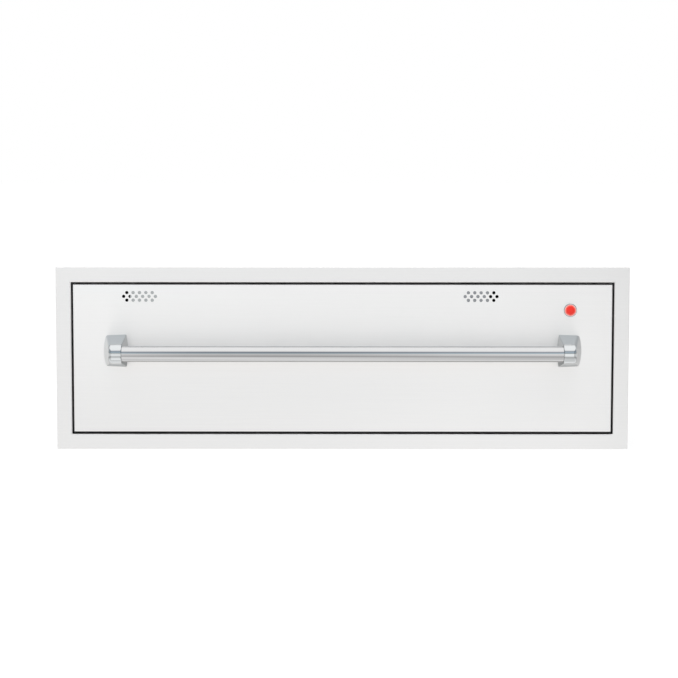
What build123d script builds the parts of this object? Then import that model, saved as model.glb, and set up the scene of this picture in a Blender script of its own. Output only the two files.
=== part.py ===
from build123d import *
import math
import os

# Built-in outdoor warming drawer: a steel casing with a trim frame, and a heated drawer on ball slides.
#
# Millimetres, +Z up, +X to the right, and the front looks along -Y. The origin is on the casing's
# underside, halfway across, in the plane of the trim frame's back lip, which seats on the face of
# the counter.

# ---- driving dimensions --------------------------------------------------------------------------------

SHEET = 1.2  # casing and drawer front sheet
THIN = 1.0  # tub, covers and vent parts

FACE_WIDTH = 965.2  # trim frame, 38 inches
FACE_HEIGHT = 308.0  # trim frame, 12 1/8 inches
FLANGE_WIDTH = 25.8  # visible width of the trim frame
FLANGE_DEPTH = 8.0
BACK_LIP = 10.0  # width of the lip that seats on the counter
JAMB_DEPTH = 14.0  # how far the frame's inner edge runs into the casing
FRAME_BEND = 2.4  # outside radius of the frame's rolled inner edge
FRAME_EDGE = 1.0

CASING_DEPTH = 560.0
CASING_FLANGE = 12.0
LID_STEP_Y = 70.0  # where the lid steps down behind the seal rim
LID_DROP = 10.4
RIM_WIDTH = 15.4  # seal rim behind the drawer front
RIM_Y = 35.3

DOOR_GAP = 3.0
DOOR_THICKNESS = 40.0
DOOR_EDGE = 1.5

TRAVEL = 420.0  # of the drawer

HANDLE_X = 381.4  # middle of each bracket's foot
HANDLE_RISE = 13.1  # of the handle above the middle of the drawer front
HANDLE_REACH = 72.0  # from the drawer front to the bracket's nose
BAR_RADIUS = 13.2
BAR_REACH = 57.5  # from the drawer front to the middle of the bar
BAR_WALL = 1.5
BAR_SOCKET = 12.0  # how far the bar's ends go into the brackets
NOSE_RADIUS = 17.3
NOSE_RISE = 16.6  # half the nose's height

VENT_LEFT_X = -341.7
VENT_RIGHT_X = 232.9
VENT_RISE = 104.9  # of the vent holes above the middle of the drawer front
VENT_PITCH = 10.7
VENT_ROW = 6.4
VENT_HOLE_RADIUS = 2.75

LAMP_X = 383.3
LAMP_RISE = 81.9
LAMP_BEZEL_RADIUS = 10.9
LAMP_LENS_RADIUS = 9.7

DRAWER_HALF = 428.3  # half the drawer shell's width
DRAWER_LOW = 20.0
DRAWER_RIM = 200.0
DRAWER_BACK = 480.0
TUB_HALF = 416.0
TUB_FRONT = 46.0
TUB_BACK = 466.0
TUB_FLOOR = 40.0
TUB_CORNER = 18.0
TUB_FLOOR_BEND = 6.0

SLIDE_WIDTH = 12.7
SLIDE_Z = 110.0
SLIDE_HALF = 22.8  # half the slide's height
BALL_RADIUS = 1.5
BALL_PLAY = 0.05

HEATER_RADIUS = 4.0
HEATER_Z = 54.0
COVER_TOP = 73.0

THERMOSTAT_X = 330.0
THERMOSTAT_Z = 222.0

# ---- worked out from them ------------------------------------------------------------------------------

OPENING_WIDTH = FACE_WIDTH - 2 * FLANGE_WIDTH
OPENING_HEIGHT = FACE_HEIGHT - 2 * FLANGE_WIDTH
OPENING_HALF = OPENING_WIDTH / 2
OPENING_LOW = 2 * SHEET
OPENING_HIGH = OPENING_LOW + OPENING_HEIGHT
CASING_HALF = OPENING_HALF + 2 * SHEET  # outside of the casing's sides
WALL_IN = CASING_HALF - SHEET  # inside of the casing's sides
CEILING = OPENING_HIGH + SHEET  # underside of the casing's top
CASING_TOP = CEILING + SHEET
LID_LOW = CEILING - LID_DROP  # underside of the lid behind its step
LID_TOP = LID_LOW + SHEET
FACE_LOW = OPENING_LOW - FLANGE_WIDTH
FACE_HIGH = OPENING_HIGH + FLANGE_WIDTH

DOOR_HALF = OPENING_HALF - DOOR_GAP
DOOR_LOW = OPENING_LOW + DOOR_GAP
DOOR_HIGH = OPENING_HIGH - DOOR_GAP
DOOR_MID = (DOOR_LOW + DOOR_HIGH) / 2
DOOR_FRONT = -FLANGE_DEPTH
DOOR_BACK = DOOR_FRONT + DOOR_THICKNESS
SKIN_IN = DOOR_FRONT + SHEET  # inside of the drawer front's outer skin

RIM_HALF = WALL_IN - RIM_WIDTH
RIM_LOW = SHEET + RIM_WIDTH
RIM_HIGH = CEILING - RIM_WIDTH

HANDLE_Z = DOOR_MID + HANDLE_RISE
BAR_Y = DOOR_FRONT - BAR_REACH
VENT_Z = DOOR_MID + VENT_RISE
LAMP_Z = DOOR_MID + LAMP_RISE

SLIDE_OUT = DRAWER_HALF + SLIDE_WIDTH  # outside of the fixed slide member
TERMINAL_BACK = DRAWER_BACK + 14.0  # of the cover over the heater's terminals
SIDES = {"left": -1, "right": 1}


# ---- helpers -------------------------------------------------------------------------------------------


def block(x_low, x_high, y_low, y_high, z_low, z_high):
    """A box between two corners."""
    middle = ((x_low + x_high) / 2, (y_low + y_high) / 2, (z_low + z_high) / 2)
    return Pos(*middle) * Box(x_high - x_low, y_high - y_low, z_high - z_low)


def side_block(side, x_low, x_high, y_low, y_high, z_low, z_high):
    """A box given for the right-hand side, placed on side +1 (right) or -1 (left)."""
    x_pair = sorted((side * x_low, side * x_high))
    return block(*x_pair, y_low, y_high, z_low, z_high)


def rod(start, direction, radius, length):
    """A round bar from a point along a direction."""
    low_end = (Align.CENTER, Align.CENTER, Align.MIN)
    return Plane(origin=start, z_dir=direction) * Cylinder(radius, length, align=low_end)


def tube_along(points, radii, radius):
    """A round bar along straight runs joined by arcs."""
    path = FilletPolyline(*points, radius=radii)
    section = Plane(origin=path @ 0, z_dir=path % 0) * Circle(radius)
    return sweep(section, path=path)


def edges_at(shape, axis, value, tolerance=0.01):
    """The edges that lie wholly at one value along an axis."""
    return shape.edges().filter_by_position(axis, value - tolerance, value + tolerance)


def screw(seat, direction, head_radius, head_height, shank_radius, shank_length):
    """A pan-head screw with a cross recess. Seat is the point under the head, direction points out of it."""
    inward = tuple(-component for component in direction)
    low_end = (Align.CENTER, Align.CENTER, Align.MIN)
    top = (Align.CENTER, Align.CENTER, Align.MAX)
    head = Cylinder(head_radius, head_height, align=low_end)
    head = fillet(edges_at(head, Axis.Z, head_height), head_height * 0.45)
    slot_width = head_radius * 0.28
    slot_length = head_radius * 1.15
    recess = Box(slot_length, slot_width, head_height * 0.5, align=top)
    recess += Box(slot_width, slot_length, head_height * 0.5, align=top)
    head -= Pos(0, 0, head_height) * recess
    head = Plane(origin=seat, z_dir=direction) * head
    return head + rod(seat, inward, shank_radius, shank_length)


def grid(first, last, count):
    """Evenly spaced values from first to last."""
    return [first + (last - first) * i / (count - 1) for i in range(count)]


# ---- casing --------------------------------------------------------------------------------------------

CASING_SCREW = {"head_radius": 3.8, "head_height": 2.2, "shank_radius": 1.9, "shank_length": 7.0}
SCREW_HOLE = 2.0
TOP_SCREW_Y = grid(100, 520, 5)
TOP_SCREW_X = CASING_HALF - 8
BACK_SCREW_Z = grid(40, 220, 3)
BACK_SCREW_Y = CASING_DEPTH - 7
LID_PRESSING = 1.6  # height of the lid's pressed stiffeners
LID_PRESSING_X = (-260, 0, 260)
LID_PRESSING_WIDTH = 180
PRESSING_LENGTH = 380
FLOOR_PRESSING_X = grid(-300, 300, 5)
FLOOR_PRESSING_WIDTH = 14
FLOOR_PRESSING = 2.4  # height of the floor's pressed stiffeners
FRAME_CORNER = 1.5

SIDE_SLOT_Y = (500, 535)  # cooling slots near the back of each side
SIDE_SLOT_LOW = grid(190, 235.5, 8)
SIDE_SLOT_HEIGHT = 3
BACK_SLOT_X = (-330, -230, 230, 330)  # cooling slots in the back panel
BACK_SLOT_HALF = 32
BACK_SLOT_LOW = grid(170, 224, 7)
BACK_SLOT_HEIGHT = 4

MOUNT_HOLE_RADIUS = 2.6
MOUNT_HOLE_Y = 24.0
MOUNT_HOLE_Z = (60.0, 200.0)

BOX_LOW_X, BOX_HIGH_X = -40.0, 80.0  # junction box behind the casing
BOX_LOW_Z, BOX_HIGH_Z = 16.0, 96.0
BOX_DEPTH = 36.0
BOX_BACK = CASING_DEPTH + BOX_DEPTH
COVER_SCREW_X = (BOX_LOW_X + BOX_HIGH_X) / 2
COVER_SCREW_Z = (BOX_LOW_Z + 8, BOX_HIGH_Z - 8)
COVER_LIP = 6.0
LEAD_X, LEAD_Z = 20.0, 56.0  # axis of the coiled lead
LEAD_RADIUS = 2.5
LEAD_HOLE = 6.0
COIL_RADIUS = 20.0  # outside of the coil
COIL_CLEARANCE = 7.0  # from the coil to the drawer and to the casing
BUSHING_Y = CASING_DEPTH + 19.0
BUSHING_BORE = 4.5
BUSHING_OUT = 8.0
BUSHING_LENGTH = 14.0


def make_face_frame():
    """Trim frame: a C-section round the opening, with its inner edge running back as the jamb."""
    outer = block(-FACE_WIDTH / 2, FACE_WIDTH / 2, -FLANGE_DEPTH, 0, FACE_LOW, FACE_HIGH)
    outer = fillet(outer.edges().filter_by(Axis.Y), FRAME_CORNER)
    outer = fillet(edges_at(outer, Axis.Y, -FLANGE_DEPTH), FRAME_EDGE)
    jamb = block(
        -WALL_IN, WALL_IN, -FLANGE_DEPTH + SHEET, JAMB_DEPTH, OPENING_LOW - SHEET, OPENING_HIGH + SHEET
    )
    depths = (-FLANGE_DEPTH - 1, JAMB_DEPTH + 1)
    opening = block(-OPENING_HALF, OPENING_HALF, *depths, OPENING_LOW, OPENING_HIGH)
    hollow = block(
        -FACE_WIDTH / 2 + SHEET,
        FACE_WIDTH / 2 - SHEET,
        -FLANGE_DEPTH + SHEET,
        -SHEET,
        FACE_LOW + SHEET,
        FACE_HIGH - SHEET,
    )
    lip_inside = FACE_WIDTH / 2 - BACK_LIP
    hollow += block(-lip_inside, lip_inside, -SHEET - 1, 1, FACE_LOW + BACK_LIP, FACE_HIGH - BACK_LIP)
    frame = outer - hollow + jamb - opening
    inner_edges = [
        e
        for e in edges_at(frame, Axis.Y, -FLANGE_DEPTH)
        if abs(e.center().X) < OPENING_HALF + 1 and OPENING_LOW - 1 < e.center().Z < OPENING_HIGH + 1
    ]
    return fillet(inner_edges, FRAME_BEND)


def make_casing_bottom():
    """Floor of the casing. Its underside is the face that the unit rests on."""
    panel = block(-CASING_HALF, CASING_HALF, SHEET, CASING_DEPTH, 0, SHEET)
    outline = RectangleRounded(FLOOR_PRESSING_WIDTH, PRESSING_LENGTH, FLOOR_PRESSING_WIDTH / 2 - 0.1)
    for x in FLOOR_PRESSING_X:
        stiffener = Pos(x, CASING_DEPTH / 2, SHEET) * extrude(outline, FLOOR_PRESSING)
        panel += chamfer(edges_at(stiffener, Axis.Z, SHEET + FLOOR_PRESSING), 1.5)
    return panel


def make_casing_side(side):
    """Side wall with folded flanges, fixing holes behind the trim and a bank of cooling slots."""
    flange_start = JAMB_DEPTH + 2
    flange_end = CASING_DEPTH - CASING_FLANGE - SHEET - 1
    step_front = LID_STEP_Y - SHEET
    wall = side_block(side, WALL_IN, CASING_HALF, SHEET, CASING_DEPTH, SHEET, LID_LOW)
    wall += side_block(side, WALL_IN, CASING_HALF, SHEET, step_front, SHEET, CEILING)
    for y_low, y_high, z_low in (
        (flange_start, flange_end, SHEET),
        (flange_start, step_front - 1, CEILING - SHEET),
        (LID_STEP_Y, flange_end, LID_LOW - SHEET),
    ):
        wall += side_block(side, WALL_IN - CASING_FLANGE, WALL_IN, y_low, y_high, z_low, z_low + SHEET)
    cutter = None
    for z in MOUNT_HOLE_Z:
        hole = rod((side * (WALL_IN - 1), MOUNT_HOLE_Y, z), (side, 0, 0), MOUNT_HOLE_RADIUS, SHEET + 2)
        cutter = hole if cutter is None else cutter + hole
    for z in BACK_SCREW_Z:
        cutter += rod((side * (WALL_IN - 1), BACK_SCREW_Y, z), (side, 0, 0), SCREW_HOLE, SHEET + 2)
    for y in TOP_SCREW_Y:
        cutter += rod((side * TOP_SCREW_X, y, LID_LOW - SHEET - 1), (0, 0, 1), SCREW_HOLE, SHEET + 1)
    for z in SIDE_SLOT_LOW:
        cutter += side_block(side, WALL_IN - 1, CASING_HALF + 1, *SIDE_SLOT_Y, z, z + SIDE_SLOT_HEIGHT)
    return wall - cutter


def make_casing_top():
    """Lid of the casing, screwed to the side flanges. It steps down behind the seal rim."""
    panel = block(-CASING_HALF, CASING_HALF, SHEET, LID_STEP_Y, CEILING, CASING_TOP)
    panel += block(-CASING_HALF, CASING_HALF, LID_STEP_Y - SHEET, LID_STEP_Y, LID_LOW, CASING_TOP)
    panel += block(-CASING_HALF, CASING_HALF, LID_STEP_Y - SHEET, CASING_DEPTH, LID_LOW, LID_TOP)
    middle_y = (LID_STEP_Y + CASING_DEPTH) / 2
    outline = RectangleRounded(LID_PRESSING_WIDTH, PRESSING_LENGTH, 20)
    for x in LID_PRESSING_X:
        pressed = Pos(x, middle_y, LID_TOP) * extrude(outline, LID_PRESSING)
        panel += chamfer(edges_at(pressed, Axis.Z, LID_TOP + LID_PRESSING), LID_PRESSING - 0.2)
    for side in SIDES.values():
        for y in TOP_SCREW_Y:
            panel -= rod((side * TOP_SCREW_X, y, LID_LOW - 1), (0, 0, 1), SCREW_HOLE, SHEET + 2)
    return panel


def make_casing_back():
    """Back panel: a shallow tray with cooling slots, its flanges screwed between the sides."""
    half, low, high = WALL_IN, SHEET, LID_LOW
    tray = block(-half, half, CASING_DEPTH - SHEET - CASING_FLANGE, CASING_DEPTH, low, high)
    tray -= block(
        -half + SHEET,
        half - SHEET,
        CASING_DEPTH - SHEET - CASING_FLANGE - 1,
        CASING_DEPTH - SHEET,
        low + SHEET,
        high - SHEET,
    )
    slots = None
    for x in BACK_SLOT_X:
        for z in BACK_SLOT_LOW:
            ends = (x - BACK_SLOT_HALF, x + BACK_SLOT_HALF)
            slot = block(*ends, CASING_DEPTH - 3, CASING_DEPTH + 1, z, z + BACK_SLOT_HEIGHT)
            slots = slot if slots is None else slots + slot
    tray -= slots
    for side in SIDES.values():
        for z in BACK_SCREW_Z:
            tray -= rod((side * (half + 1), BACK_SCREW_Y, z), (-side, 0, 0), SCREW_HOLE, SHEET + 3)
    return tray - rod((LEAD_X, CASING_DEPTH - 4, LEAD_Z), (0, 1, 0), LEAD_HOLE, 6)


def make_seal_rim():
    """Inward rim that the drawer front's gasket closes on, folded back along the walls."""
    outer = block(-WALL_IN, WALL_IN, RIM_Y, RIM_Y + CASING_FLANGE, SHEET, CEILING)
    behind = block(
        -WALL_IN + SHEET,
        WALL_IN - SHEET,
        RIM_Y + SHEET,
        RIM_Y + CASING_FLANGE + 1,
        2 * SHEET,
        CEILING - SHEET,
    )
    opening = block(-RIM_HALF, RIM_HALF, RIM_Y - 1, RIM_Y + 20, RIM_LOW, RIM_HIGH)
    rim = outer - behind - opening
    notch_in = WALL_IN - CASING_FLANGE - 0.5
    for side in SIDES.values():  # notches for the side panels' flanges
        for z_low in (SHEET, CEILING - SHEET):
            z_high = z_low + SHEET + 0.5
            rim -= side_block(side, notch_in, WALL_IN + 1, RIM_Y - 1, RIM_Y + 20, z_low - 0.5, z_high)
    return rim


SHIELD_DEPTH = 14.2
SHIELD_LOW = LID_LOW - SHIELD_DEPTH
SHIELD_FRONT = LID_STEP_Y + 1
SHIELD_BACK = CASING_DEPTH - CASING_FLANGE - SHEET - 1
SHIELD_HALF = WALL_IN - CASING_FLANGE - 1


def make_ceiling_shield():
    """Heat shield under the lid: a shallow tray that holds the insulation up."""
    tray = block(-SHIELD_HALF, SHIELD_HALF, SHIELD_FRONT, SHIELD_BACK, SHIELD_LOW, LID_LOW)
    return tray - block(
        -SHIELD_HALF + THIN,
        SHIELD_HALF - THIN,
        SHIELD_FRONT + THIN,
        SHIELD_BACK - THIN,
        SHIELD_LOW + THIN,
        LID_LOW + 1,
    )


def make_ceiling_insulation():
    """Mineral wool blanket in the heat shield."""
    return block(
        -SHIELD_HALF + 2 * THIN,
        SHIELD_HALF - 2 * THIN,
        SHIELD_FRONT + 2 * THIN,
        SHIELD_BACK - 2 * THIN,
        SHIELD_LOW + THIN,
        LID_LOW - 0.5,
    )


def make_casing_screws():
    """Screws of the lid, the back panel and the supply box's cover."""
    screws = []
    for side in SIDES.values():
        for y in TOP_SCREW_Y:
            screws.append(screw((side * TOP_SCREW_X, y, LID_TOP), (0, 0, 1), **CASING_SCREW))
        for z in BACK_SCREW_Z:
            screws.append(screw((side * CASING_HALF, BACK_SCREW_Y, z), (side, 0, 0), **CASING_SCREW))
    for z in COVER_SCREW_Z:
        screws.append(screw((COVER_SCREW_X, BOX_BACK + THIN, z), (0, 1, 0), **CASING_SCREW))
    return Compound(children=screws)


# ---- supply box behind the casing ----------------------------------------------------------------------


def make_junction_box():
    """Sheet box for the supply connection, with a hole for the cord bushing in its right-hand side."""
    box = block(BOX_LOW_X, BOX_HIGH_X, CASING_DEPTH, BOX_BACK, BOX_LOW_Z, BOX_HIGH_Z)
    box = fillet(box.edges().filter_by(Axis.Y), 3)
    inside = block(
        BOX_LOW_X + THIN,
        BOX_HIGH_X - THIN,
        CASING_DEPTH + THIN,
        BOX_BACK + 1,
        BOX_LOW_Z + THIN,
        BOX_HIGH_Z - THIN,
    )
    box -= fillet(inside.edges().filter_by(Axis.Y), 2)
    for z in COVER_SCREW_Z:  # tapped tabs for the cover screws
        low, high = (z - 7, z + 5) if z == COVER_SCREW_Z[0] else (z - 5, z + 7)
        tab = block(COVER_SCREW_X - 7, COVER_SCREW_X + 7, BOX_BACK - 4, BOX_BACK, low, high)
        box += tab - rod((COVER_SCREW_X, BOX_BACK + 1, z), (0, -1, 0), SCREW_HOLE, 6)
    box -= rod((LEAD_X, CASING_DEPTH - 1, LEAD_Z), (0, 1, 0), LEAD_HOLE, 4)
    return box - rod((BOX_HIGH_X - 4, BUSHING_Y, LEAD_Z), (1, 0, 0), BUSHING_OUT, 8)


def make_junction_cover():
    """Cover of the supply box, with a folded edge round it."""
    grip = 0.2
    cover = block(
        BOX_LOW_X - THIN - grip,
        BOX_HIGH_X + THIN + grip,
        BOX_BACK - COVER_LIP,
        BOX_BACK + THIN,
        BOX_LOW_Z - THIN - grip,
        BOX_HIGH_Z + THIN + grip,
    )
    cover = fillet(cover.edges().filter_by(Axis.Y), 4)
    cover = fillet(edges_at(cover, Axis.Y, BOX_BACK + THIN), 0.8)
    inside = block(
        BOX_LOW_X - grip,
        BOX_HIGH_X + grip,
        BOX_BACK - COVER_LIP - 1,
        BOX_BACK,
        BOX_LOW_Z - grip,
        BOX_HIGH_Z + grip,
    )
    cover -= fillet(inside.edges().filter_by(Axis.Y), 3)
    for z in COVER_SCREW_Z:
        cover -= rod((COVER_SCREW_X, BOX_BACK - 2, z), (0, 1, 0), SCREW_HOLE, 6)
    return cover


def make_cord_bushing():
    """Snap bushing that a supply cord passes through."""
    start = BOX_HIGH_X - 6
    bushing = rod((start, BUSHING_Y, LEAD_Z), (1, 0, 0), BUSHING_OUT - 0.1, BUSHING_LENGTH)
    bushing += rod((BOX_HIGH_X, BUSHING_Y, LEAD_Z), (1, 0, 0), BUSHING_OUT + 2.4, 3)
    bushing -= rod((start - 1, BUSHING_Y, LEAD_Z), (1, 0, 0), BUSHING_BORE, BUSHING_LENGTH + 2)
    outer_end = edges_at(bushing, Axis.X, start + BUSHING_LENGTH)
    return chamfer([e for e in outer_end if e.radius > BUSHING_BORE + 1], 1.2)


POLES_X = -20.0  # line of the terminal block's screws
POLES_Z = (43.0, 56.0, 69.0)
POLES_HALF_WIDTH = 8.0
POLES_DEPTH = 16.0
POLE_SCREW_RADIUS = 2.6
POLE_WIRE_RADIUS = 2.0


def make_terminal_block():
    """Three-pole terminal block in the supply box."""
    front = CASING_DEPTH + THIN
    back = front + POLES_DEPTH
    low_x, high_x = POLES_X - POLES_HALF_WIDTH, POLES_X + POLES_HALF_WIDTH
    bar = block(low_x, high_x, front, back, POLES_Z[0] - 7, POLES_Z[-1] + 7)
    bar = fillet(edges_at(bar, Axis.Y, back), 1.0)
    for z in POLES_Z:
        bar -= rod((POLES_X, back + 1, z), (0, -1, 0), POLE_SCREW_RADIUS, 8)
        bar -= rod((low_x - 1, front + 5, z), (1, 0, 0), POLE_WIRE_RADIUS, 2 * POLES_HALF_WIDTH + 2)
    return bar


def make_lead_grommet():
    """Grommet where the coiled lead passes the back panel."""
    lip = 2.0
    start = CASING_DEPTH - SHEET - lip
    length = 2 * lip + SHEET + THIN
    grommet = rod((LEAD_X, start, LEAD_Z), (0, 1, 0), LEAD_HOLE - 0.1, length)
    grommet += rod((LEAD_X, start, LEAD_Z), (0, 1, 0), LEAD_HOLE + lip, lip)
    grommet += rod((LEAD_X, CASING_DEPTH + THIN, LEAD_Z), (0, 1, 0), LEAD_HOLE + lip, lip)
    return grommet - rod((LEAD_X, start - 1, LEAD_Z), (0, 1, 0), LEAD_RADIUS + 0.1, length + 2)


def make_coiled_lead():
    """Coiled lead between the casing and the drawer, which stretches as the drawer opens."""
    coil_start = TERMINAL_BACK + COIL_CLEARANCE
    coil_end = CASING_DEPTH - SHEET - COIL_CLEARANCE
    coil = rod((LEAD_X, coil_start, LEAD_Z), (0, 1, 0), COIL_RADIUS, coil_end - coil_start)
    coil += rod((LEAD_X, TERMINAL_BACK - 4, LEAD_Z), (0, 1, 0), LEAD_RADIUS, coil_start - TERMINAL_BACK + 5)
    return coil + rod((LEAD_X, coil_end - 1, LEAD_Z), (0, 1, 0), LEAD_RADIUS, CASING_DEPTH + 10 - coil_end)


# ---- slides --------------------------------------------------------------------------------------------
# Across the slide, depth runs from the fixed member's back (0) towards the drawer (SLIDE_WIDTH).

SLIDE_SHEET = 1.2
OUTER_RACE = SLIDE_HALF - SLIDE_SHEET  # inside of the fixed member's flanges
OUTER_BALL = OUTER_RACE - BALL_RADIUS - BALL_PLAY
MIDDLE_HALF = OUTER_BALL - BALL_RADIUS - BALL_PLAY
MIDDLE_RACE = MIDDLE_HALF - THIN
INNER_BALL = MIDDLE_RACE - BALL_RADIUS - BALL_PLAY
INNER_HALF = INNER_BALL - BALL_RADIUS - BALL_PLAY
BALL_DEPTH = 6.0
CAGE_LENGTH = 160.0
CAGE_SHEET = 0.4

OUTER_SLIDE_Y = (52.0, 502.0)
MIDDLE_SLIDE_Y = (50.0, 500.0)
INNER_SLIDE_Y = (34.0, DRAWER_BACK)
OUTER_CAGE_Y = 190.0
INNER_CAGE_Y = 185.0
SLIDE_HOLES_Y = (90.0, 180.0, 300.0, 420.0)
OUTER_LIPS = (0.0, 9.6)  # depths that each member's web and flanges run between
MIDDLE_WEB = (2.0, 3.0)
MIDDLE_LIPS = (2.0, 10.4)
INNER_WEB = (SLIDE_WIDTH - SLIDE_SHEET, SLIDE_WIDTH)
INNER_LIPS = (4.2, SLIDE_WIDTH)
OUTER_CAGE_WEB = (1.4, 1.8)
INNER_CAGE_WEB = (3.3, 3.7)
CAGE_LIP_END = 9.2
BALLS_IN_ROW = 8
SLIDE_SCREW_Y = (120.0, 260.0, 440.0)


def slide_block(side, depth_low, depth_high, y_pair, rise_low, rise_high):
    """A box placed by its depth across the slide and its rise above the slide's middle."""
    return side_block(
        side, SLIDE_OUT - depth_high, SLIDE_OUT - depth_low, *y_pair, SLIDE_Z + rise_low, SLIDE_Z + rise_high
    )


def channel(side, web, lips, y_pair, half, thickness):
    """A C-section: a web between two depths, and two lips between two depths."""
    shape = slide_block(side, *web, y_pair, -half, half)
    for sign in (-1, 1):
        rises = sorted((sign * half, sign * (half - thickness)))
        shape += slide_block(side, *lips, y_pair, *rises)
    return shape


def web_holes(side, depth_low, depth_high, radius, places):
    """Round holes through a web."""
    start = side * (SLIDE_OUT - depth_low + 0.5)
    holes = [rod((start, y, SLIDE_Z), (-side, 0, 0), radius, depth_high - depth_low + 1) for y in places]
    return Compound(children=holes)


def make_slide_standoffs():
    """Hat-section rails that carry the fixed slide members off the casing's sides."""
    half = SLIDE_HALF + 4
    rails = []
    for side in SIDES.values():
        rail = side_block(side, SLIDE_OUT, SLIDE_OUT + SHEET, *OUTER_SLIDE_Y, SLIDE_Z - half, SLIDE_Z + half)
        for sign in (-1, 1):
            leg = sorted((SLIDE_Z + sign * half, SLIDE_Z + sign * (half - SHEET)))
            rail += side_block(side, SLIDE_OUT, WALL_IN, *OUTER_SLIDE_Y, *leg)
            foot = sorted((SLIDE_Z + sign * (half - SHEET), SLIDE_Z + sign * (half + 14)))
            rail += side_block(side, WALL_IN - SHEET, WALL_IN, *OUTER_SLIDE_Y, *foot)
        rails.append(rail)
    return Compound(children=rails)


def make_outer_slide(side):
    """Fixed slide member."""
    shape = channel(side, (0, SLIDE_SHEET), OUTER_LIPS, OUTER_SLIDE_Y, SLIDE_HALF, SLIDE_SHEET)
    return shape - web_holes(side, 0, SLIDE_SHEET, 3.0, SLIDE_HOLES_Y)


def make_middle_slide(side):
    """Travelling slide member between the fixed one and the drawer's."""
    shape = channel(side, MIDDLE_WEB, MIDDLE_LIPS, MIDDLE_SLIDE_Y, MIDDLE_HALF, THIN)
    return shape - web_holes(side, *MIDDLE_WEB, 5.0, SLIDE_HOLES_Y)


def make_inner_slide(side):
    """Slide member on the drawer."""
    shape = channel(side, INNER_WEB, INNER_LIPS, INNER_SLIDE_Y, INNER_HALF, SLIDE_SHEET)
    return shape - web_holes(side, *INNER_WEB, SCREW_HOLE, SLIDE_SCREW_Y)


def make_ball_cage(side, y_low, ball_rise, web):
    """Ball retainer: a thin channel with its balls in two rows."""
    y_pair = (y_low, y_low + CAGE_LENGTH)
    half = ball_rise + CAGE_SHEET / 2
    cage = channel(side, web, (web[0], CAGE_LIP_END), y_pair, half, CAGE_SHEET)
    balls = []
    ball_x = side * (SLIDE_OUT - BALL_DEPTH)
    for sign in (-1, 1):
        for y in grid(y_low + 8, y_low + CAGE_LENGTH - 8, BALLS_IN_ROW):
            centre = (ball_x, y, SLIDE_Z + sign * ball_rise)
            balls.append(Pos(*centre) * Sphere(BALL_RADIUS))
            start = (ball_x, y, SLIDE_Z + sign * (ball_rise - 1))
            cage -= rod(start, (0, 0, sign), BALL_RADIUS + 0.05, 2)
    return Compound(children=[cage, *balls])


def make_outer_cage(side):
    """Balls between the fixed and the travelling member."""
    return make_ball_cage(side, OUTER_CAGE_Y, OUTER_BALL, OUTER_CAGE_WEB)


def make_inner_cage(side):
    """Balls between the travelling member and the drawer's."""
    return make_ball_cage(side, INNER_CAGE_Y, INNER_BALL, INNER_CAGE_WEB)


# ---- drawer front --------------------------------------------------------------------------------------

HANDLE_SCREW_RISE = 13.0
HANDLE_SCREW = {"head_radius": 5.5, "head_height": 3.6, "shank_radius": 2.95, "shank_length": 13.0}
THERMOSTAT_SHAFT = 3.0
LAMP_BARREL = 7.9
LAMP_BARREL_LENGTH = 26.0
LAMP_LEAD_RADIUS = 1.5
BEZEL_HEIGHT = 2.6
LENS_SEAT_Y = DOOR_FRONT - 0.8
LENS_HEIGHT = 4.0
LENS_DOME_RADIUS = 20.0
LAMP_NUT_RADIUS = 11.5
ARM_HALF_WIDTH = 5.0
ARM_HALF_THICKNESS = 1.0
SHUTTER_WIDTH = 66.0
SHUTTER_HALF_HEIGHT = 12.0
SHUTTER_IN = SKIN_IN + 0.2 + THIN  # back of a shutter's plate
GUIDE_HALF_HEIGHT = 16.0
GUIDE_SPACER = 1.6
SENSOR_DX = -26.0  # from the thermostat's shaft to its capillary
SENSOR_Z = DRAWER_RIM + 6
LAMP_LEAD_RUN = 7.0  # straight run of the lamp's lead behind its barrel
HANDLE_SCREW_HOLE = 3.2
VENTS = {
    # opens: the way it opens along X; closed and open: its travel from rest to shut and to fully open
    "left": {"x": VENT_LEFT_X, "opens": 1, "closed": 17.0, "open": 47.0},
    "right": {"x": VENT_RIGHT_X, "opens": -1, "closed": 19.6, "open": 44.4},
}
DOOR_SCREW_X = (-380.0, -130.0, 130.0, 380.0)
DOOR_SCREW_Z = (50.0, 170.0)
HARNESS_X, HARNESS_Z = 330.0, 29.0
HARNESS_FRONT_Y = 18.0
HARNESS_RADIUS = 2.5


def vent_holes(x_middle):
    """Places of one group of vent holes: rows of five, six and five."""
    places = []
    for row, count in ((-1, 5), (0, 6), (1, 5)):
        half_row = VENT_PITCH * (count - 1) / 2
        columns = grid(x_middle - half_row, x_middle + half_row, count)
        places += [(x, VENT_Z + row * VENT_ROW) for x in columns]
    return places


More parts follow.
